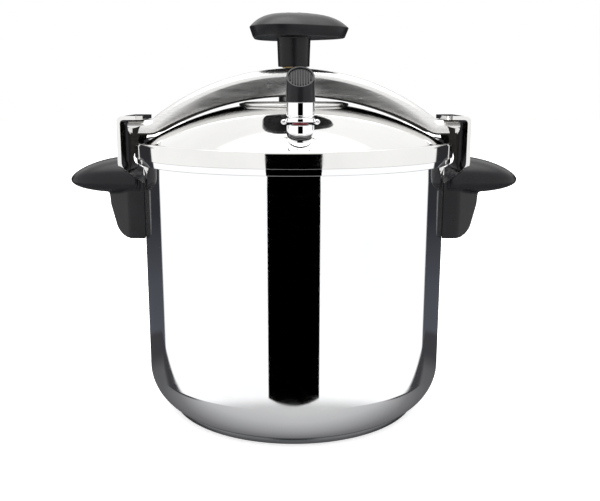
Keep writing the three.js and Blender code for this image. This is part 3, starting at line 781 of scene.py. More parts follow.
@dataclass
class Handle:
    """A moulded side handle: a winged grip on a block that wraps the strap, held by a slotted screw."""

    bench: Bench
    hook: Hook
    tip: float = 179.7
    height: float = 184.4
    root: float = 137.0
    above: float = 17.6
    below: float = 10.4
    half_width: float = 29.0
    block_half: float = 25.5
    nose: float = 148.6
    front: float = 130.0
    bottom: float = 139.0
    bolt: float = 160.0
    gap: float = 0.3
    buried: float = 112.0
    well: float = 9.0

    @staticmethod
    def swell(t: float, power: float) -> float:
        """A superellipse, 1 at the middle and 0 at the rim."""
        return max(0.0, 1 - abs(t) ** power) ** (1 / power)

    def grip(self) -> BMesh:
        """The wing that the hand takes, fuller above than below."""
        def spread(value: float) -> float:
            """Squares off a sine or cosine a little."""
            return math.copysign(abs(value) ** 0.8, value)

        angles = [WHOLE_TURN * i / 72 for i in range(72)]
        shares = [math.sin(math.radians(3 * i)) for i in range(31)]
        reach = self.tip - self.root
        rings = []
        for x, along in [(122.0, 0.0), *((self.root + reach * share, share) for share in shares)]:
            wide = max(0.5, self.half_width * self.swell(along, 2.6))
            high = max(0.25, self.above * self.swell(along, 1.62))
            deep = max(0.25, self.below * self.swell(along, 2))
            rings.append([Vector((x, wide * spread(math.cos(a)),
                                  self.height + (high if math.sin(a) > 0 else deep) * spread(math.sin(a))))
                          for a in angles])
        return lofted(rings)

    def block(self) -> BMesh:
        """The block under the grip, drawn in towards its nose."""
        side = [(128.8, self.bottom), *bow(128.8, self.bottom + 14.5, 14.5, -75, -12, 10),
                (147.5, self.bottom + 26), (self.nose, self.height - 4), (self.nose - 1, self.height + 4)]
        rings = []
        for x, z in side:
            shoulder = min(self.front, x - 0.02)
            slope = (self.block_half - 10) / (self.nose + 1 - self.front)
            nose_half = self.block_half - max(0.0, x - self.front) * slope
            near = [(self.buried, self.block_half), (shoulder, self.block_half), (x, nose_half)]
            plan = [(a, -b) for a, b in near] + near[::-1]
            rings.append([Vector((a, b, z)) for a, b in plan])
        return lofted(rings)

    def strap_room(self) -> BMesh:
        """Everything above the strap's slope on the pot's side of its upright; the cheeks beside it stay."""
        hook = self.hook
        slope = (hook.knee - hook.heel) / (hook.upright - hook.plate)
        upper = hook.thick / 2 * math.hypot(1, slope)
        outer = hook.upright + hook.thick / 2 + self.gap
        near, high = 105, 240
        corners = [(near, hook.heel + upper + slope * (near - hook.plate)),
                   (outer, hook.knee + upper + slope * (outer - hook.upright)), (outer, high), (near, high)]
        return lofted([[Vector((x, y, z)) for x, z in corners] for y in (-50, 50)])

    def moulding(self) -> BMesh:
        """The handle with its room for the strap, the pot and the screw."""
        hook = self.hook
        shank = hook.plate + hook.thick / 2 + self.gap + 4.3
        seat, mouth = self.nose - self.well - self.gap, self.nose + 3
        screw_room = turned_lying([(0, 118), (5.7, 118), (5.7, shank), (hook.hole, shank), (hook.hole, seat),
                                   (4.9, seat), (4.9, mouth), (0, mouth)], 48, self.bolt)
        pot = turned([(0, 100), (120.3, 100), (120.3, 207), (0, 207)], 256)
        strap = hook.strap(hook.thick + 2 * self.gap, hook.half_width + self.gap)
        return carved(fused([self.grip(), self.block()], 0.8, 5), [strap, self.strap_room(), pot, screw_room])

    def screw(self) -> BMesh:
        """The slotted screw with its domed head."""
        head, end = self.nose - self.well, self.hook.plate
        side = eased([(0, end), (2.1, end, 0.2), (2.4, end + 0.5), (2.4, head, 0.1), (4.6, head, 0.3),
                      (4.6, head + 1.8, 0.6), (3.2, head + 2.8, 1.2), (0, head + 3)])
        body = turned_lying(side, 48, self.bolt)
        reach = [(-0.55, -5.2), (0.55, -5.2), (0.55, 5.2), (-0.55, 5.2)]
        slot = lofted([[Vector((x, y, self.bolt + z)) for z, y in reach] for x in (head + 1.9, head + 4)])
        return carved(body, [slot])

    def build(self) -> None:
        """Sets out both handles with their hooks and screws."""
        bench, shelf = self.bench, self.bench.shelf
        moulding, screw = self.moulding(), self.screw()
        for side in Side:
            self.hook.build(side, self.bolt)
            bench.set_out(f"handle_grip_{side.tag}", spun(moulding, side), shelf.bakelite, Rides.POT,
                          [f"handle_{side.tag}"])
            bench.set_out(f"handle_bolt_{side.tag}", spun(screw, side), shelf.turned, Rides.POT,
                          [f"handle_screw_{side.tag}"])
            bench.repaint(shelf.turned, f"handle_nut_{side.tag}")
        moulding.free()
        screw.free()


# ---------------------------------------------------------------- lid


@dataclass
class Lid:
    """The domed lid with its seal, and the plate and socket that take the screw's thrust."""

    bench: Bench
    band: float = 126.0
    band_low: float = 204.0
    top: float = 216.0
    crown: float = 245.3
    drop: float = 33.9
    spread: float = 122.0
    power: float = 2.28
    edge: float = 117.5
    sheet: float = 0.8
    plate: float = 43.5
    plate_thick: float = 3.1
    plate_bevel: float = 5.0
    plate_bevel_drop: float = 1.2
    gap: float = 0.3
    facets: int = 256

    def height(self, radius: float) -> float:
        """Height of the dome's upper surface."""
        return self.crown - self.drop * (radius / self.spread) ** self.power

    @property
    def seat(self) -> float:
        """Height of the flat seat in the middle of the dome."""
        return self.height(self.plate + self.gap)

    def dome(self, offset: float, edge: float, steps: int = 44) -> Line:
        """The dome outside the pressure plate's flat seat.

        Args:
            offset: how far above the surface.
            edge: the last radius.
            steps: number of segments.

        Returns:
            Points from the seat outward.
        """
        start = self.plate + self.gap
        radii = [start + (edge - start) * i / steps for i in range(steps + 1)]
        return [(r, self.height(r) + offset) for r in radii]

    def shell(self) -> BMesh:
        """The lid's steel."""
        band, inner, top, low, edge = self.band, self.band - self.sheet, self.top, self.band_low, self.edge
        *dome, start, _ = self.dome(0, edge)
        rim = eased([start, (edge, self.height(edge), 0.8), (119.5, top - 0.6, 1.0), (121.5, top, 1.5),
                     (band - 2, top, 1.0), (band - 0.6, top - 0.6, 0.8), (band, top - 2, 0.8),
                     (band, low, 0.25), (inner, low, 0.25), (inner, top - 2.4, 0.8),
                     (inner - 1.4, top - 0.8, 0.8),
                     (121.5, top - 0.8, 1.0), (118.1, top - 2.6, 0.6),
                     (edge - 0.3, self.height(edge - 0.3) - self.sheet)])
        under = reversed(self.dome(-self.sheet, edge - 1.0))
        return turned([(0, self.seat), *dome, *rim, *under, (0, self.seat - self.sheet)], self.facets)

    def below(self, clearance: float) -> BMesh:
        """Everything under a surface that clears the dome."""
        low, dome = 190, reversed(self.dome(clearance, self.band))
        return turned([(0, low), (self.band, low), *dome, (0, self.seat + clearance)], self.facets)

    def thrust_plate(self) -> BMesh:
        """The pressure plate on the dome's seat."""
        low = self.seat + self.gap
        top = low + self.plate_thick
        groove = [(14, top, 0.2), (13.6, top - 0.25, 0.2), (13.2, top, 0.2)]
        return turned(eased([(0, low), (self.plate, low, 0.7), (self.plate, top - self.plate_bevel_drop, 0.5),
                             (self.plate - self.plate_bevel, top, 2), *groove, (0, top)]), self.facets)

    def thrust_socket(self) -> BMesh:
        """The socket welded on the plate."""
        low = self.seat + 2 * self.gap + self.plate_thick
        top, floor = low + 9, low + 2.1
        return turned(eased([(0, low), (12, low, 0.4), (12, top, 1.0), (8.3, top, 0.4), (8.3, floor, 0.3),
                             (0, floor)]), 96)

    def build(self, holes: Sequence[tuple[Sequence[float], float]]) -> None:
        """Sets out the lid.

        Args:
            holes: where the two valves stand, and the radius of each hole.
        """
        shelf = self.bench.shelf
        drills = [turned([(0, 200), (radius, 200), (radius, 250), (0, 250)], 64, spot)
                  for spot, radius in holes]
        self.bench.set_out("lid_shell", carved(self.shell(), drills), shelf.pressed, Rides.LID, ["lid"])
        self.bench.set_out("thrust_plate", self.thrust_plate(), shelf.satin, Rides.LID, ["pressure_plate"])
        self.bench.set_out("thrust_cup", self.thrust_socket(), shelf.turned, Rides.LID, ["thrust_socket"])
        self.bench.repaint(shelf.rubber, "gasket")
        self.bench.repaint(shelf.turned, "socket_collar")


# ---------------------------------------------------------------- bridge


@dataclass
class Arch:
    """An edge of the bridge: an arc about a point on the axis that flattens into a level toe."""

    top: float
    foot: float
    toe: float
    toe_start: float

    @property
    def radius(self) -> float:
        """Radius of the arc, from its rise above the toe and where the toe is level."""
        rise = self.top - self.foot - self.toe
        return (self.toe_start**2 + rise**2 - self.toe**2) / (2 * (self.toe + rise))

    @property
    def centre(self) -> float:
        """Height of the arc's centre."""
        return self.top - self.radius

    @property
    def slope(self) -> float:
        """The steepest angle, where the arc meets the toe."""
        return math.asin(self.toe_start / (self.radius + self.toe))

    def height(self, x: float) -> float:
        """Height of the edge at a distance from the axis."""
        x = abs(x)
        if x < self.radius * math.sin(self.slope):
            return self.centre + math.sqrt(self.radius**2 - x**2)
        if x < self.toe_start:
            return self.foot + self.toe - math.sqrt(self.toe**2 - (self.toe_start - x) ** 2)
        return self.foot

    def stations(self) -> list[tuple[float, float, float]]:
        """Points (distance, height, slope) from the axis to where the toe is level."""
        arc = [self.slope * i / 40 for i in range(41)]
        toe = [self.slope * (1 - i / 8) for i in range(1, 9)]
        return [(self.radius * math.sin(a), self.centre + self.radius * math.cos(a), a) for a in arc] + [
            (self.toe_start - self.toe * math.sin(a), self.foot + self.toe * (1 - math.cos(a)), a) for a in toe]


@dataclass
class Bridge:
    """The arched channel that clamps the lid, with the threaded bush in its crown."""

    bench: Bench
    crown: Arch = field(default_factory=lambda: Arch(271.3, 231.7, 8, 115.1))
    skirt: Arch = field(default_factory=lambda: Arch(249.6, 220.2, 16, 113.3))
    half_width: float = 19.0
    sheet: float = 2.5
    edge: float = 7.0
    tip: float = 131.0
    hem: float = 1.5
    tip_corner: float = 4.5

    def section(self) -> list[tuple[float, float | None, float]]:
        """The channel's outside as (across, drop, lift); without a drop it is lifted off the skirt's edge."""
        flat = self.half_width - self.edge
        turn = [(flat + self.edge * math.sin(a), self.edge * (1 - math.cos(a)), 0.0)
                for a in (math.radians(9 * i) for i in range(11))]
        side: list[tuple[float, float | None, float]] = [
            (0.0, 0.0, 0.0), (flat / 2, 0.0, 0.0), *turn, (self.half_width, None, self.hem),
            (self.half_width - 0.5, None, 0.0)]
        return [(-y, drop, lift) for y, drop, lift in reversed(side[1:])] + side

    def ring(self, x: float, z: float, angle: float, share: float) -> list[Vector]:
        """One row of the channel's outside.

        Args:
            x: distance from the axis, with its sign.
            z: height of the crown there.
            angle: slope of the crown there.
            share: how far along the level toe, from 0 to 1.

        Returns:
            The row's points.
        """
        way = math.copysign(1, x)
        points = []
        for y, drop, lift in self.section():
            end = math.sqrt(self.tip**2 - y**2)
            reach = abs(x) + (end - abs(x)) * share
            rise = self.edge if drop is None else drop
            place = reach - rise * math.sin(angle)
            height = z - rise * math.cos(angle)
            if drop is None:
                height = self.skirt.height(place)
                near = self.tip_corner - (end - place)
                if near > 0:
                    height += self.tip_corner - math.sqrt(max(0.0, self.tip_corner**2 - near**2))
                height += lift
            points.append(Vector((way * place, y, height)))
        return points

    def channel(self) -> BMesh:
        """The bridge with the hole for its bush."""
        half = [(x, z, a, 0.0) for x, z, a in self.crown.stations()]
        toe = half[-1][0]
        shares = (0.4, 0.6, 0.68, 0.76, 0.84, 0.91, 0.96, 0.99, 1.0)
        half += [(toe, self.crown.foot, 0.0, share) for share in shares]
        rows = [self.ring(-x, z, a, s) for x, z, a, s in reversed(half[1:])]
        rows += [self.ring(*one) for one in half]
        thing = put_out("channel", lofted(rows, looped=False, capped=False))
        if sum(face.normal.z for face in thing.data.polygons) < 0:
            thing.data.flip_normals()
        thicken = thing.modifiers.new("sheet", "SOLIDIFY")
        thicken.thickness = self.sheet * MM
        thicken.offset = -1
        thicken.use_even_offset = True
        drill = turned([(0, 255), (7.3, 255), (7.3, 276), (0, 276)], 96)
        return carved(settled(thing), [drill])

    def painted_shade(self, face: bpy.types.MeshPolygon) -> bool:
        """Picks out the channel's inside and lower edge, which take a near-black steel as painted shade, from
        its polished outside.

        Args:
            face: a face of the channel.

        Returns:
            Whether it takes the painted shade.
        """
        x, y, z = face.center / MM
        inward = face.normal.y * y < 0 and abs(face.normal.y) > 0.3
        ceiling = face.normal.z < -0.2 and abs(y) < self.half_width - 1
        return inward or ceiling or z - self.skirt.height(abs(x)) < self.hem * 0.9

    def bush(self) -> BMesh:
        """The threaded bush."""
        shoulder, top = self.crown.top - self.sheet - 0.6, self.crown.top + 0.15
        low = shoulder - 10.5
        return turned(eased([(5.4, low), (9.5, low, 0.3), (10.5, low + 1, 0.3), (10.5, shoulder, 0.3),
                             (7, shoulder, 0.2), (7, top, 0.3), (5.4, top)]), 96)

    def build(self) -> None:
        """Sets out the bridge."""
        shelf = self.bench.shelf
        channel = self.bench.set_out("bridge_channel", self.channel(), shelf.satin, Rides.BRIDGE,
                                     ["bridge"], 0.6)
        # The channel's inside and lower edge take the near-black steel as painted shade.
        self.bench.second_finish(channel, shelf.channel_shade, filter(self.painted_shade, channel.data.polygons))
        self.bench.set_out("threaded_bush", self.bush(), shelf.turned, Rides.BRIDGE, ["bridge_bush"])


# ---------------------------------------------------------------- knob


@dataclass
class Knob:
    """The three-cornered knob on its stem, with its spindle, washer and plug."""

    bench: Bench
    stem_low: float = 272.65
    stem_radius: float = 12.4
    stem_top: float = 13.2
    low: float = 294.5
    crease: float = 301.9
    top: float = 312.5
    mean: float = 38.5
    lobe: float = 4.5
    draft: float = 2.5
    power: float = 3.8
    round_to: float = 14.0
    blend: float = 12.0
    pocket: float = 9.6
    pocket_floor: float = 300.0
    boss: float = 5.8
    boss_rise: float = 1.5
    spindle_foot: float = 248.12
    core: float = 4.3
    thread: float = 5.0
    pitch: float = 1.5
    inlay: float = 1.1

    def share(self, angle: float) -> float:
        """The outline's reach at an angle, as a share of its longest."""
        return (self.mean + self.lobe * math.cos(3 * angle)) / (self.mean + self.lobe)

    def head(self) -> BMesh:
        """The moulded head and stem."""
        full = self.mean + self.lobe
        fall = self.top - self.crease
        shares = (0.985, 0.96, 0.93, 0.9, 0.86, 0.82, 0.77, 0.71, 0.64, 0.56, 0.47, 0.38, 0.3)
        dome = [(full * s, self.top - fall * s**self.power) for s in shares]
        body = eased([(5.3, self.stem_low), (self.stem_radius, self.stem_low, 0.5),
                      (self.stem_top, self.low, 0.9), (full - self.draft - 0.6, self.low, 0.9),
                      (full, self.crease, 0.55), dome[0]], 4)
        crown = eased([dome[-1], (self.pocket, self.top - 0.02, 0.4), (self.pocket, self.pocket_floor, 0.3),
                       (5.3, self.pocket_floor)], 4)
        shape = turned([*body, *dome[1:-1], *crown], 180)
        for vert in shape.verts:
            radius = math.hypot(vert.co.x, vert.co.y) / MM
            blend = min(1.0, max(0.0, (radius - self.round_to) / self.blend))
            factor = 1 + (self.share(math.atan2(vert.co.y, vert.co.x)) - 1) * blend * blend * (3 - 2 * blend)
            vert.co.x *= factor
            vert.co.y *= factor
        return closed_up(shape)

    def spindle(self) -> BMesh:
        """The screw with its thrust foot, threaded between the plate and the bush."""
        low, core, thread = self.spindle_foot, self.core, self.thread
        corners: list[Corner] = [(0, low), (7.5, low, 0.8), (7.5, low + 3, 0.5), (core, low + 3, 0.3)]
        z = low + 5
        while z < self.stem_low - 2:
            corners += [(core, z), (thread, z + 0.5), (thread, z + 0.75), (core, z + 1.25)]
            z += self.pitch
        corners += [(thread, self.stem_low - 1), (thread, 305.8), (4, 306.8), (0, 306.8)]
        return turned(eased(corners, 3), 64)

    def washer(self) -> BMesh:
        """The brass washer under the stem."""
        low = self.stem_low - 0.9
        return turned(eased([(5.3, low), (9, low, 0.15), (9, low + 0.6, 0.15), (5.3, low + 0.6)], 3), 96)

    def plug(self) -> BMesh:
        """The plug over the nut, with a raised boss that carries an enamelled inlay."""
        radius, low, top = self.pocket - 0.3, self.top - 5.5, self.top + self.boss_rise
        return turned(eased([(0, low), (radius, low, 0.3), (radius, self.top - 0.3, 0.4),
                             (self.boss + 0.4, self.top, 0.3), (self.boss, top - 0.1, 0.45),
                             (self.boss - 0.9, top + 0.05, 0.15), (self.boss - self.inlay, top - 0.15, 0.1),
                             (0, top + 0.05)], 4), 96)

    def inlaid(self, face: bpy.types.MeshPolygon) -> bool:
        """Whether a face of the plug belongs to the red inlay on its boss."""
        x, y, z = face.center
        return z > self.top * MM and math.hypot(x, y) < (self.boss - self.inlay) * MM

    def build(self) -> None:
        """Sets out the knob."""
        shelf = self.bench.shelf
        self.bench.set_out("knob_head", self.head(), shelf.bakelite, Rides.KNOB, ["knob"])
        self.bench.set_out("screw_spindle", self.spindle(), shelf.turned, Rides.KNOB, ["spindle"])
        self.bench.set_out("stem_washer", self.washer(), shelf.brass, Rides.KNOB, ["knob_washer"])
        plug = self.bench.set_out("knob_plug", self.plug(), shelf.satin, Rides.KNOB, ["knob_cap"])
        self.bench.second_finish(plug, shelf.red, filter(self.inlaid, plug.data.polygons))
        self.bench.repaint(shelf.turned, "knob_nut")


# ---------------------------------------------------------------- operating valve


@dataclass
class Valve:
    """The operating valve: collar, cup, red ring, eyes, sleeve and the cap with its slanting thumb face."""

    bench: Bench
    lid: Lid
    distance: float = 95.1
    angle: float = -87.3
    cup: float = 9.35
    cup_low: float = 223.9
    cup_top: float = 231.1
    cup_clearance: float = 2.2
    eye: float = 11.15
    sleeve: float = 9.65
    cap: float = 10.05
    cap_low: float = 246.7
    cap_top: float = 270.8
    cap_front: float = 256.3
    draft: float = 0.6
    rib_pitch: float = 1.75

    @property
    def spot(self) -> tuple[float, float]:
        """Where the valve stands."""
        return standing(self.distance, self.angle)

    def collar(self) -> BMesh:
        """The collar through the lid, cut to its slope."""
        bore, neck, top = 4.3, 6.2, 229.1
        low = self.lid.height(self.distance + neck) - 2.4
        blank = turned(eased([(bore, 215), (7.85, 215), (7.85, top, 0.4), (bore, top)]), 96, self.spot)
        above = carved(blank, [self.lid.below(self.lid.gap)])
        spigot = turned([(bore, low), (neck, low), (neck, top - 0.3), (bore, top - 0.3)], 96, self.spot)
        return carved(above, [spigot], "UNION")

    def cup_shape(self) -> BMesh:
        """The chrome cup round the collar."""
        bore, low, top = 8.15, self.cup_low, self.cup_top
        blank = turned(eased([(bore, low), (8.2, low), (self.cup, low + 1.5, 2.2), (self.cup, top, 0.35),
                              (bore, top, 0.2), (bore, low)]), 128, self.spot)
        return carved(blank, [self.lid.below(self.cup_clearance)])

    def nozzle(self) -> BMesh:
        """The nozzle that the sleeve hangs on."""
        bore, low, step, top = 1.1, 213.9, 229.4, 243.5
        side = [(bore, low), (4, low, 0.2), (4, step, 0.1), (5.4, step, 0.2), (5.4, self.cup_top, 0.3),
                (3.2, self.cup_top, 0.2), (3.2, top - 2, 0.5), (1.7, top, 0.3), (bore, top)]
        return turned(eased(side), 64, self.spot)

    def red_ring(self) -> BMesh:
        """The pressure indicator."""
        low = self.cup_top + 0.3
        return turned(eased([(3.6, low), (5.4, low, 0.3), (5.4, low + 1.5, 0.35), (3.6, low + 1.5, 0.2),
                             (3.6, low)]), 96, self.spot)

    def eyes(self) -> BMesh:
        """The hoop round the sleeve's foot with a wire eye on each side."""
        low, high = 233.3, 235.9
        hoop = turned(eased([(8.6, low), (9.85, low, 0.4), (9.85, high, 0.4), (8.6, high)]), 96, self.spot)
        loops = []
        for way in (1, -1):
            ring = rotated(turned(bow(1.45, 0, 0.75, 0, 345, 23), 48), math.pi / 2, "X")
            bmesh.ops.scale(ring, verts=ring.verts, vec=(1, 1, 0.7586))
            loops.append(moved(ring, (self.spot[0] + way * self.eye, self.spot[1], low + 0.05)))
        return carved(hoop, loops, "UNION")

    def sleeve_shape(self) -> BMesh:
        """The chrome sleeve, open below."""
        bore, low, top = 7.2, 235.2, 246.4
        return turned(eased([(bore, low), (8.2, low, 0.2), (8.2, low + 1.2, 0.3), (self.sleeve, low + 2.5, 0.6),
                             (self.sleeve, top, 0.3), (3, top), (3, top - 1), (bore, top - 1), (bore, low)]),
                      128, self.spot)

    def cap_shape(self) -> BMesh:
        """The cap, sliced for the thumb, with a dished and ribbed face."""
        bore, low, roof, blank_top = 4.2, self.cap_low, self.cap_low + 10.2, self.cap_top + 2
        body = turned(eased([(bore, low), (self.cap, low, 0.3), (self.cap - 0.4, self.cap_front),
                             (self.cap - self.draft, blank_top), (0, blank_top), (0, roof), (bore, roof, 0.3),
                             (bore, low)]), 128)
        rise = math.atan2(self.cap_top - self.cap_front, 2 * self.cap)
        normal = Vector((0, -math.sin(rise), math.cos(rise)))
        middle = Vector((0, 0, (self.cap_top + self.cap_front) / 2 * MM))
        sliced = bmesh.ops.bisect_plane(body, geom=[*body.verts, *body.edges, *body.faces], plane_co=middle,
                                        plane_no=normal, clear_outer=True)
        rim = [item for item in sliced["geom_cut"] if isinstance(item, bmesh.types.BMEdge)]
        face = bmesh.ops.contextual_create(body, geom=rim)["faces"][0]
        face.normal_update()
        if face.normal.dot(normal) < 0:
            face.normal_flip()
        for border, dip in ((0.35, -0.12), (0.75, 0.0), (0.35, -0.85)):
            bmesh.ops.inset_region(body, faces=[face], thickness=border * MM, depth=dip * MM,
                                   use_even_offset=True)
        return joined([closed_up(body), *self.ribs(rise, middle / MM)])

    def ribs(self, rise: float, middle: Vector) -> list[BMesh]:
        """The ribs in the thumb face.

        Args:
            rise: the face's slope.
            middle: the face's middle, in millimetres.

        Returns:
            One solid for each rib.
        """
        along = Vector((0, math.cos(rise), math.sin(rise)))
        normal = Vector((0, -math.sin(rise), math.cos(rise)))
        wide = self.cap - self.draft - self.rib_pitch
        hump = bow(0, 0, 1, 0, 180, 8)
        ribs = []
        for x in (i * self.rib_pitch for i in range(-4, 5)):
            reach = wide / math.cos(rise) * math.sqrt(max(0.0, 1 - (x / wide) ** 2)) - 0.1
            rings = []
            for share, swell in ((-1, 0.25), (-0.96, 0.8), (-0.9, 1), (0.9, 1), (0.96, 0.8), (1, 0.25)):
                centre = middle + along * (reach * share) - normal
                rings.append([centre + Vector((x + px * 0.5, 0, 0)) + normal * (py * 0.85 * swell)
                              for px, py in hump])
            ribs.append(lofted(rings))
        return ribs

    def build(self) -> None:
        """Sets out the valve."""
        shelf, bench = self.bench.shelf, self.bench
        bench.set_out("valve_collar_base", self.collar(), shelf.cast, Rides.LID, ["valve_base"])
        bench.set_out("valve_chrome_cup", self.cup_shape(), shelf.chrome, Rides.LID, ["valve_cup"])
        bench.set_out("valve_nozzle_tube", self.nozzle(), shelf.turned, Rides.LID, ["valve_nozzle"])
        bench.set_out("pressure_ring", self.red_ring(), shelf.red, Rides.INDICATOR, ["indicator_ring"])
        bench.set_out("valve_eyes", self.eyes(), shelf.chrome, Rides.COLLAR, ["valve_ring"])
        bench.set_out("valve_skirt", self.sleeve_shape(), shelf.chrome, Rides.HEAD, ["valve_sleeve"])
        cap = moved(self.cap_shape(), (*self.spot, 0))
        bench.set_out("valve_thumb_cap", cap, shelf.bakelite, Rides.HEAD, ["valve_cap"], 0.12)
        bench.repaint(shelf.rubber, "valve_seal")
        bench.repaint(shelf.turned, "valve_nut", "valve_plunger", "valve_spring")


@dataclass
class SafetyValve:
    """The spring-loaded safety valve behind the bridge."""

    bench: Bench
    lid: Lid
    distance: float = 88.0
    angle: float = 92.7
    radius: float = 6.5

    @property
    def spot(self) -> tuple[float, float]:
        """Where the valve stands."""
        return standing(self.distance, self.angle)

    def build(self) -> None:
        """Sets out the safety valve."""
        shelf, bench, spot = self.bench.shelf, self.bench, self.spot
        low, top = (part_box("safety_base")[i].z / MM for i in (0, 1))
        body_low, body_top = (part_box("safety_body")[i].z / MM for i in (0, 1))
        bore, wide = 3.3, self.radius
        blank = turned(eased([(bore, 212), (wide, 212), (wide, top, 0.4), (bore, top)]), 96, spot)
        collar = carved(blank, [self.lid.below(self.lid.gap)])
        spigot = turned([(bore, low), (5, low), (5, top - 0.3), (bore, top - 0.3)], 96, spot)
        bench.set_out("safety_seat", carved(collar, [spigot], "UNION"), shelf.satin, Rides.LID, ["safety_base"])
        groove = [(wide, body_low + 2.6, 0.2), (wide - 0.3, body_low + 2.9, 0.1),
                  (wide - 0.3, body_low + 3.4, 0.1), (wide, body_low + 3.7, 0.2)]
        housing = turned(eased([(4.2, body_low), (wide, body_low, 0.3), *groove, (wide, body_top - 0.2, 0.9),
                                (2.4, body_top, 0.3), (2.4, body_top - 1.2), (4.2, body_top - 1.2),
                                (4.2, body_low)]), 96, spot)
        bench.set_out("safety_housing", housing, shelf.satin, Rides.LID, ["safety_body"])
        disc_top = body_low + 2
        button = turned(eased([(0, body_low + 0.3), (3.8, body_low + 0.3, 0.2), (3.8, disc_top, 0.2),
                               (1.4, disc_top, 0.2), (1.4, body_top - 2.4), (2, body_top - 1.8),
                               (2, body_top + 1.5, 0.6), (0, body_top + 1.5)]), 64, spot)
        bench.set_out("safety_button", button, shelf.turned, Rides.PIN, ["safety_pin"])
        bench.repaint(shelf.rubber, "safety_seal")
        bench.repaint(shelf.turned, "safety_nut", "safety_spring")


# ---------------------------------------------------------------- studio


@dataclass
class Studio:
    """A plain pale floor, soft boxes all round and the camera.

    The corner values round the panels' lower corners: from which share of a half turn, how fast, how sharply
    and how far their foot rises. The trim is the dark line under them.
    """

    camera_spot: tuple[float, float, float] = (0.0, -0.6175, 0.2535)
    camera_tilt: float = 78.17
    lens: float = 45.54
    shift: float = 0.0103
    flag_spot: float = -0.52
    flag_half: float = 0.156
    flag_low: float = -0.144
    flag_high: float = 0.36
    panel: float = 1.12
    ceiling: float = 4.2
    floor_glow: float = 0.55
    corner_from: float = 0.42
    corner_gain: float = 4.17
    corner_power: float = 2.3
    corner_lift: float = 0.053
    panel_foot: float = 0.262
    trim: Colour = (0.05, 0.05, 0.055)

    def light(self) -> None:
        """Soft white panels on both sides and above, with unlit gaps in front and towards the back."""
        world = bpy.data.worlds.new("studio")
        bpy.context.scene.world = world
        world.use_nodes = True
        tree = world.node_tree
        back = tree.nodes["Background"]

        def add(kind: str, **values: object) -> bpy.types.Node:
            """Adds a node with its attributes."""
            node = tree.nodes.new(kind)
            for key, value in values.items():
                setattr(node, key, value)
            return node

        def maths(operation: str, *inputs: object) -> Socket:
            """One step of arithmetic on sockets and numbers."""
            node = add("ShaderNodeMath", operation=operation)
            for socket, value in zip(node.inputs, inputs):
                if isinstance(value, Socket):
                    tree.links.new(value, socket)
                else:
                    socket.default_value = value
            return node.outputs[0]

        def ramp(source: Socket, stops: Sequence[tuple[float, tuple[float, float, float]]],
                 ) -> Socket:
            """A colour that runs through stops of (place, colour)."""
            node = add("ShaderNodeValToRGB")
            strip = node.color_ramp
            while len(strip.elements) < len(stops):
                strip.elements.new(0.5)
            for element, (place, colour) in zip(strip.elements, stops):
                element.position = place
                element.color = (*colour, 1)
            tree.links.new(source, node.inputs["Fac"])
            return node.outputs["Color"]

        def mix(factor: Socket, low: Socket, high: Socket,
                ) -> Socket:
            """The low colour at factor 0 and the high one at 1."""
            node = add("ShaderNodeMix", data_type="RGBA")
            tree.links.new(factor, node.inputs[0])
            tree.links.new(low, node.inputs[6])
            tree.links.new(high, node.inputs[7])
            return node.outputs[2]

        def smooth(source: Socket, low: float, high: float) -> Socket:
            """A soft step from 0 to 1 between two values."""
            node = add("ShaderNodeMapRange", interpolation_type="SMOOTHSTEP")
            node.inputs[1].default_value = low
            node.inputs[2].default_value = high
            tree.links.new(source, node.inputs[0])
            return node.outputs[0]

        way = add("ShaderNodeSeparateXYZ")
        tree.links.new(add("ShaderNodeTexCoord").outputs["Generated"], way.inputs[0])
        x, y, z = way.outputs
        front, down = maths("MULTIPLY", y, -1.0), maths("MULTIPLY", z, -1.0)
        azimuth = maths("DIVIDE", maths("ABSOLUTE", maths("ARCTAN2", x, front)), math.pi)
        rise = maths("DIVIDE", maths("ARCSINE", z), math.pi / 2)
        dip = maths("MULTIPLY", rise, -1.0)
        under = maths("DIVIDE", maths("ARCTAN2", down, front), math.pi)
        white, bright = (self.panel,) * 3, (self.ceiling,) * 3
        lit = ramp(rise, [(0.0, white), (0.55, white), (0.75, bright), (1.0, bright)])
        side = maths("MULTIPLY", maths("SUBTRACT", azimuth, self.corner_from), self.corner_gain)
        side = maths("MAXIMUM", maths("MINIMUM", side, 1.1), 0.0)
        low = maths("ADD", dip, maths("MULTIPLY", maths("POWER", side, self.corner_power), self.corner_lift))
        foot = self.panel_foot
        line = maths("SUBTRACT", smooth(low, foot, foot + 0.006), smooth(low, 0.282, 0.3))
        line = maths("MULTIPLY", line, smooth(azimuth, 0.4, 0.5))
        shade = ramp(line, [(0.0, self.trim), (1.0, self.trim)])
        unlit = ramp(dip, [(0.04, (0.03, 0.03, 0.033)), (0.1, (0.03, 0.031, 0.037)),
                           (0.16, (0.07, 0.074, 0.088)), (0.26, (0.1, 0.105, 0.125))])
        ground = ramp(under, [(0.12, (0.62, 0.62, 0.62)), (0.31, (0.52, 0.52, 0.525)),
                              (0.45, (0.38, 0.38, 0.385)), (0.64, (0.2, 0.2, 0.205)),
                              (0.8, (0.12, 0.12, 0.125)), (1.0, (0.08, 0.08, 0.085))])
        room = mix(smooth(azimuth, 0.65, 0.662), lit, unlit)
        room = mix(smooth(rise, 0.15, 0.2), room, lit)
        room = mix(line, mix(smooth(low, foot, foot + 0.012), room, ground), shade)
        seen = add("ShaderNodeLightPath").outputs["Is Camera Ray"]
        plain = add("ShaderNodeRGB").outputs[0]
        plain.default_value = (1, 1, 1, 1)
        tree.links.new(mix(seen, room, plain), back.inputs["Color"])

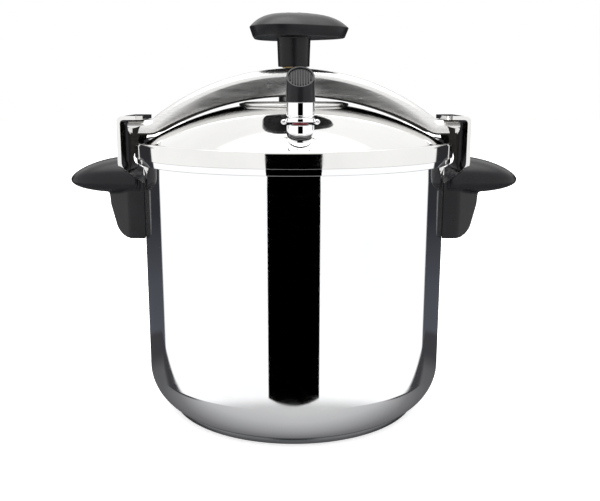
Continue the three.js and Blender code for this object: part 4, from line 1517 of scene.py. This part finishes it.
    def floor(self) -> None:
        """A wide pale floor that stays bright under the pot."""
        shape = bmesh.new()
        bmesh.ops.create_grid(shape, x_segments=8, y_segments=8, size=6.0)
        bmesh.ops.translate(shape, verts=shape.verts, vec=(0, 0, -0.0003))
        ground = put_out("studio_floor", shape)
        sheet = NodeSheet("pale floor")
        sheet.set(Base_Color=(0.8, 0.8, 0.8, 1), Roughness=0.9, Emission_Color=(1, 1, 1, 1),
                  Emission_Strength=self.floor_glow)
        sheet.emboss([(sheet.noise(90), 0.05, 0.1)])
        ground.data.materials.append(sheet.material)
        ground.visible_glossy = False

    def flag(self) -> None:
        """A black flag in front, which only shows as the dark bar in the polished steel."""
        shape = bmesh.new()
        bmesh.ops.create_grid(shape, x_segments=2, y_segments=2, size=1.0)
        half, low, high = self.flag_half, self.flag_low, self.flag_high
        bmesh.ops.scale(shape, verts=shape.verts, vec=(half, (high - low) / 2, 1))
        bmesh.ops.rotate(shape, verts=shape.verts, cent=(0, 0, 0), matrix=Matrix.Rotation(math.pi / 2, 3, "X"))
        bmesh.ops.translate(shape, verts=shape.verts, vec=(0, self.flag_spot, (high + low) / 2))
        board = put_out("studio_flag", shape)
        sheet = NodeSheet("black flag")
        sheet.set(Base_Color=(0, 0, 0, 1), Roughness=1.0, Specular_IOR_Level=0.0)
        board.data.materials.append(sheet.material)
        board.visible_camera = board.visible_diffuse = board.visible_shadow = False

    def aim(self) -> None:
        """Sets the camera."""
        lens = bpy.data.cameras.new("view")
        lens.lens = self.lens
        lens.sensor_width = 36.0
        lens.shift_x = self.shift
        lens.clip_start, lens.clip_end = 0.02, 50.0
        eye = bpy.data.objects.new("view", lens)
        eye.location = self.camera_spot
        eye.rotation_euler = (math.radians(self.camera_tilt), 0, 0)
        bpy.context.scene.collection.objects.link(eye)
        bpy.context.scene.camera = eye

    def build(self) -> None:
        """Sets up the studio."""
        self.light()
        self.floor()
        self.flag()
        self.aim()
        bpy.context.scene.view_settings.view_transform = "Standard"


@dataclass
class Cooker:
    """The whole pressure cooker."""

    bench: Bench = field(default_factory=lambda: Bench(FinishShelf()))

    def build(self) -> None:
        """Sets out every sub-assembly."""
        Pot(self.bench).build()
        Handle(self.bench, Hook(self.bench)).build()
        lid = Lid(self.bench)
        valve, safety = Valve(self.bench, lid), SafetyValve(self.bench, lid)
        lid.build([(valve.spot, 6.5), (safety.spot, 5.3)])
        valve.build()
        safety.build()
        Bridge(self.bench).build()
        Knob(self.bench).build()


def main() -> None:
    """Builds the cooker in its studio."""
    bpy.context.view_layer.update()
    Studio().build()
    Cooker().build()


if __name__ == "__main__":
    main()
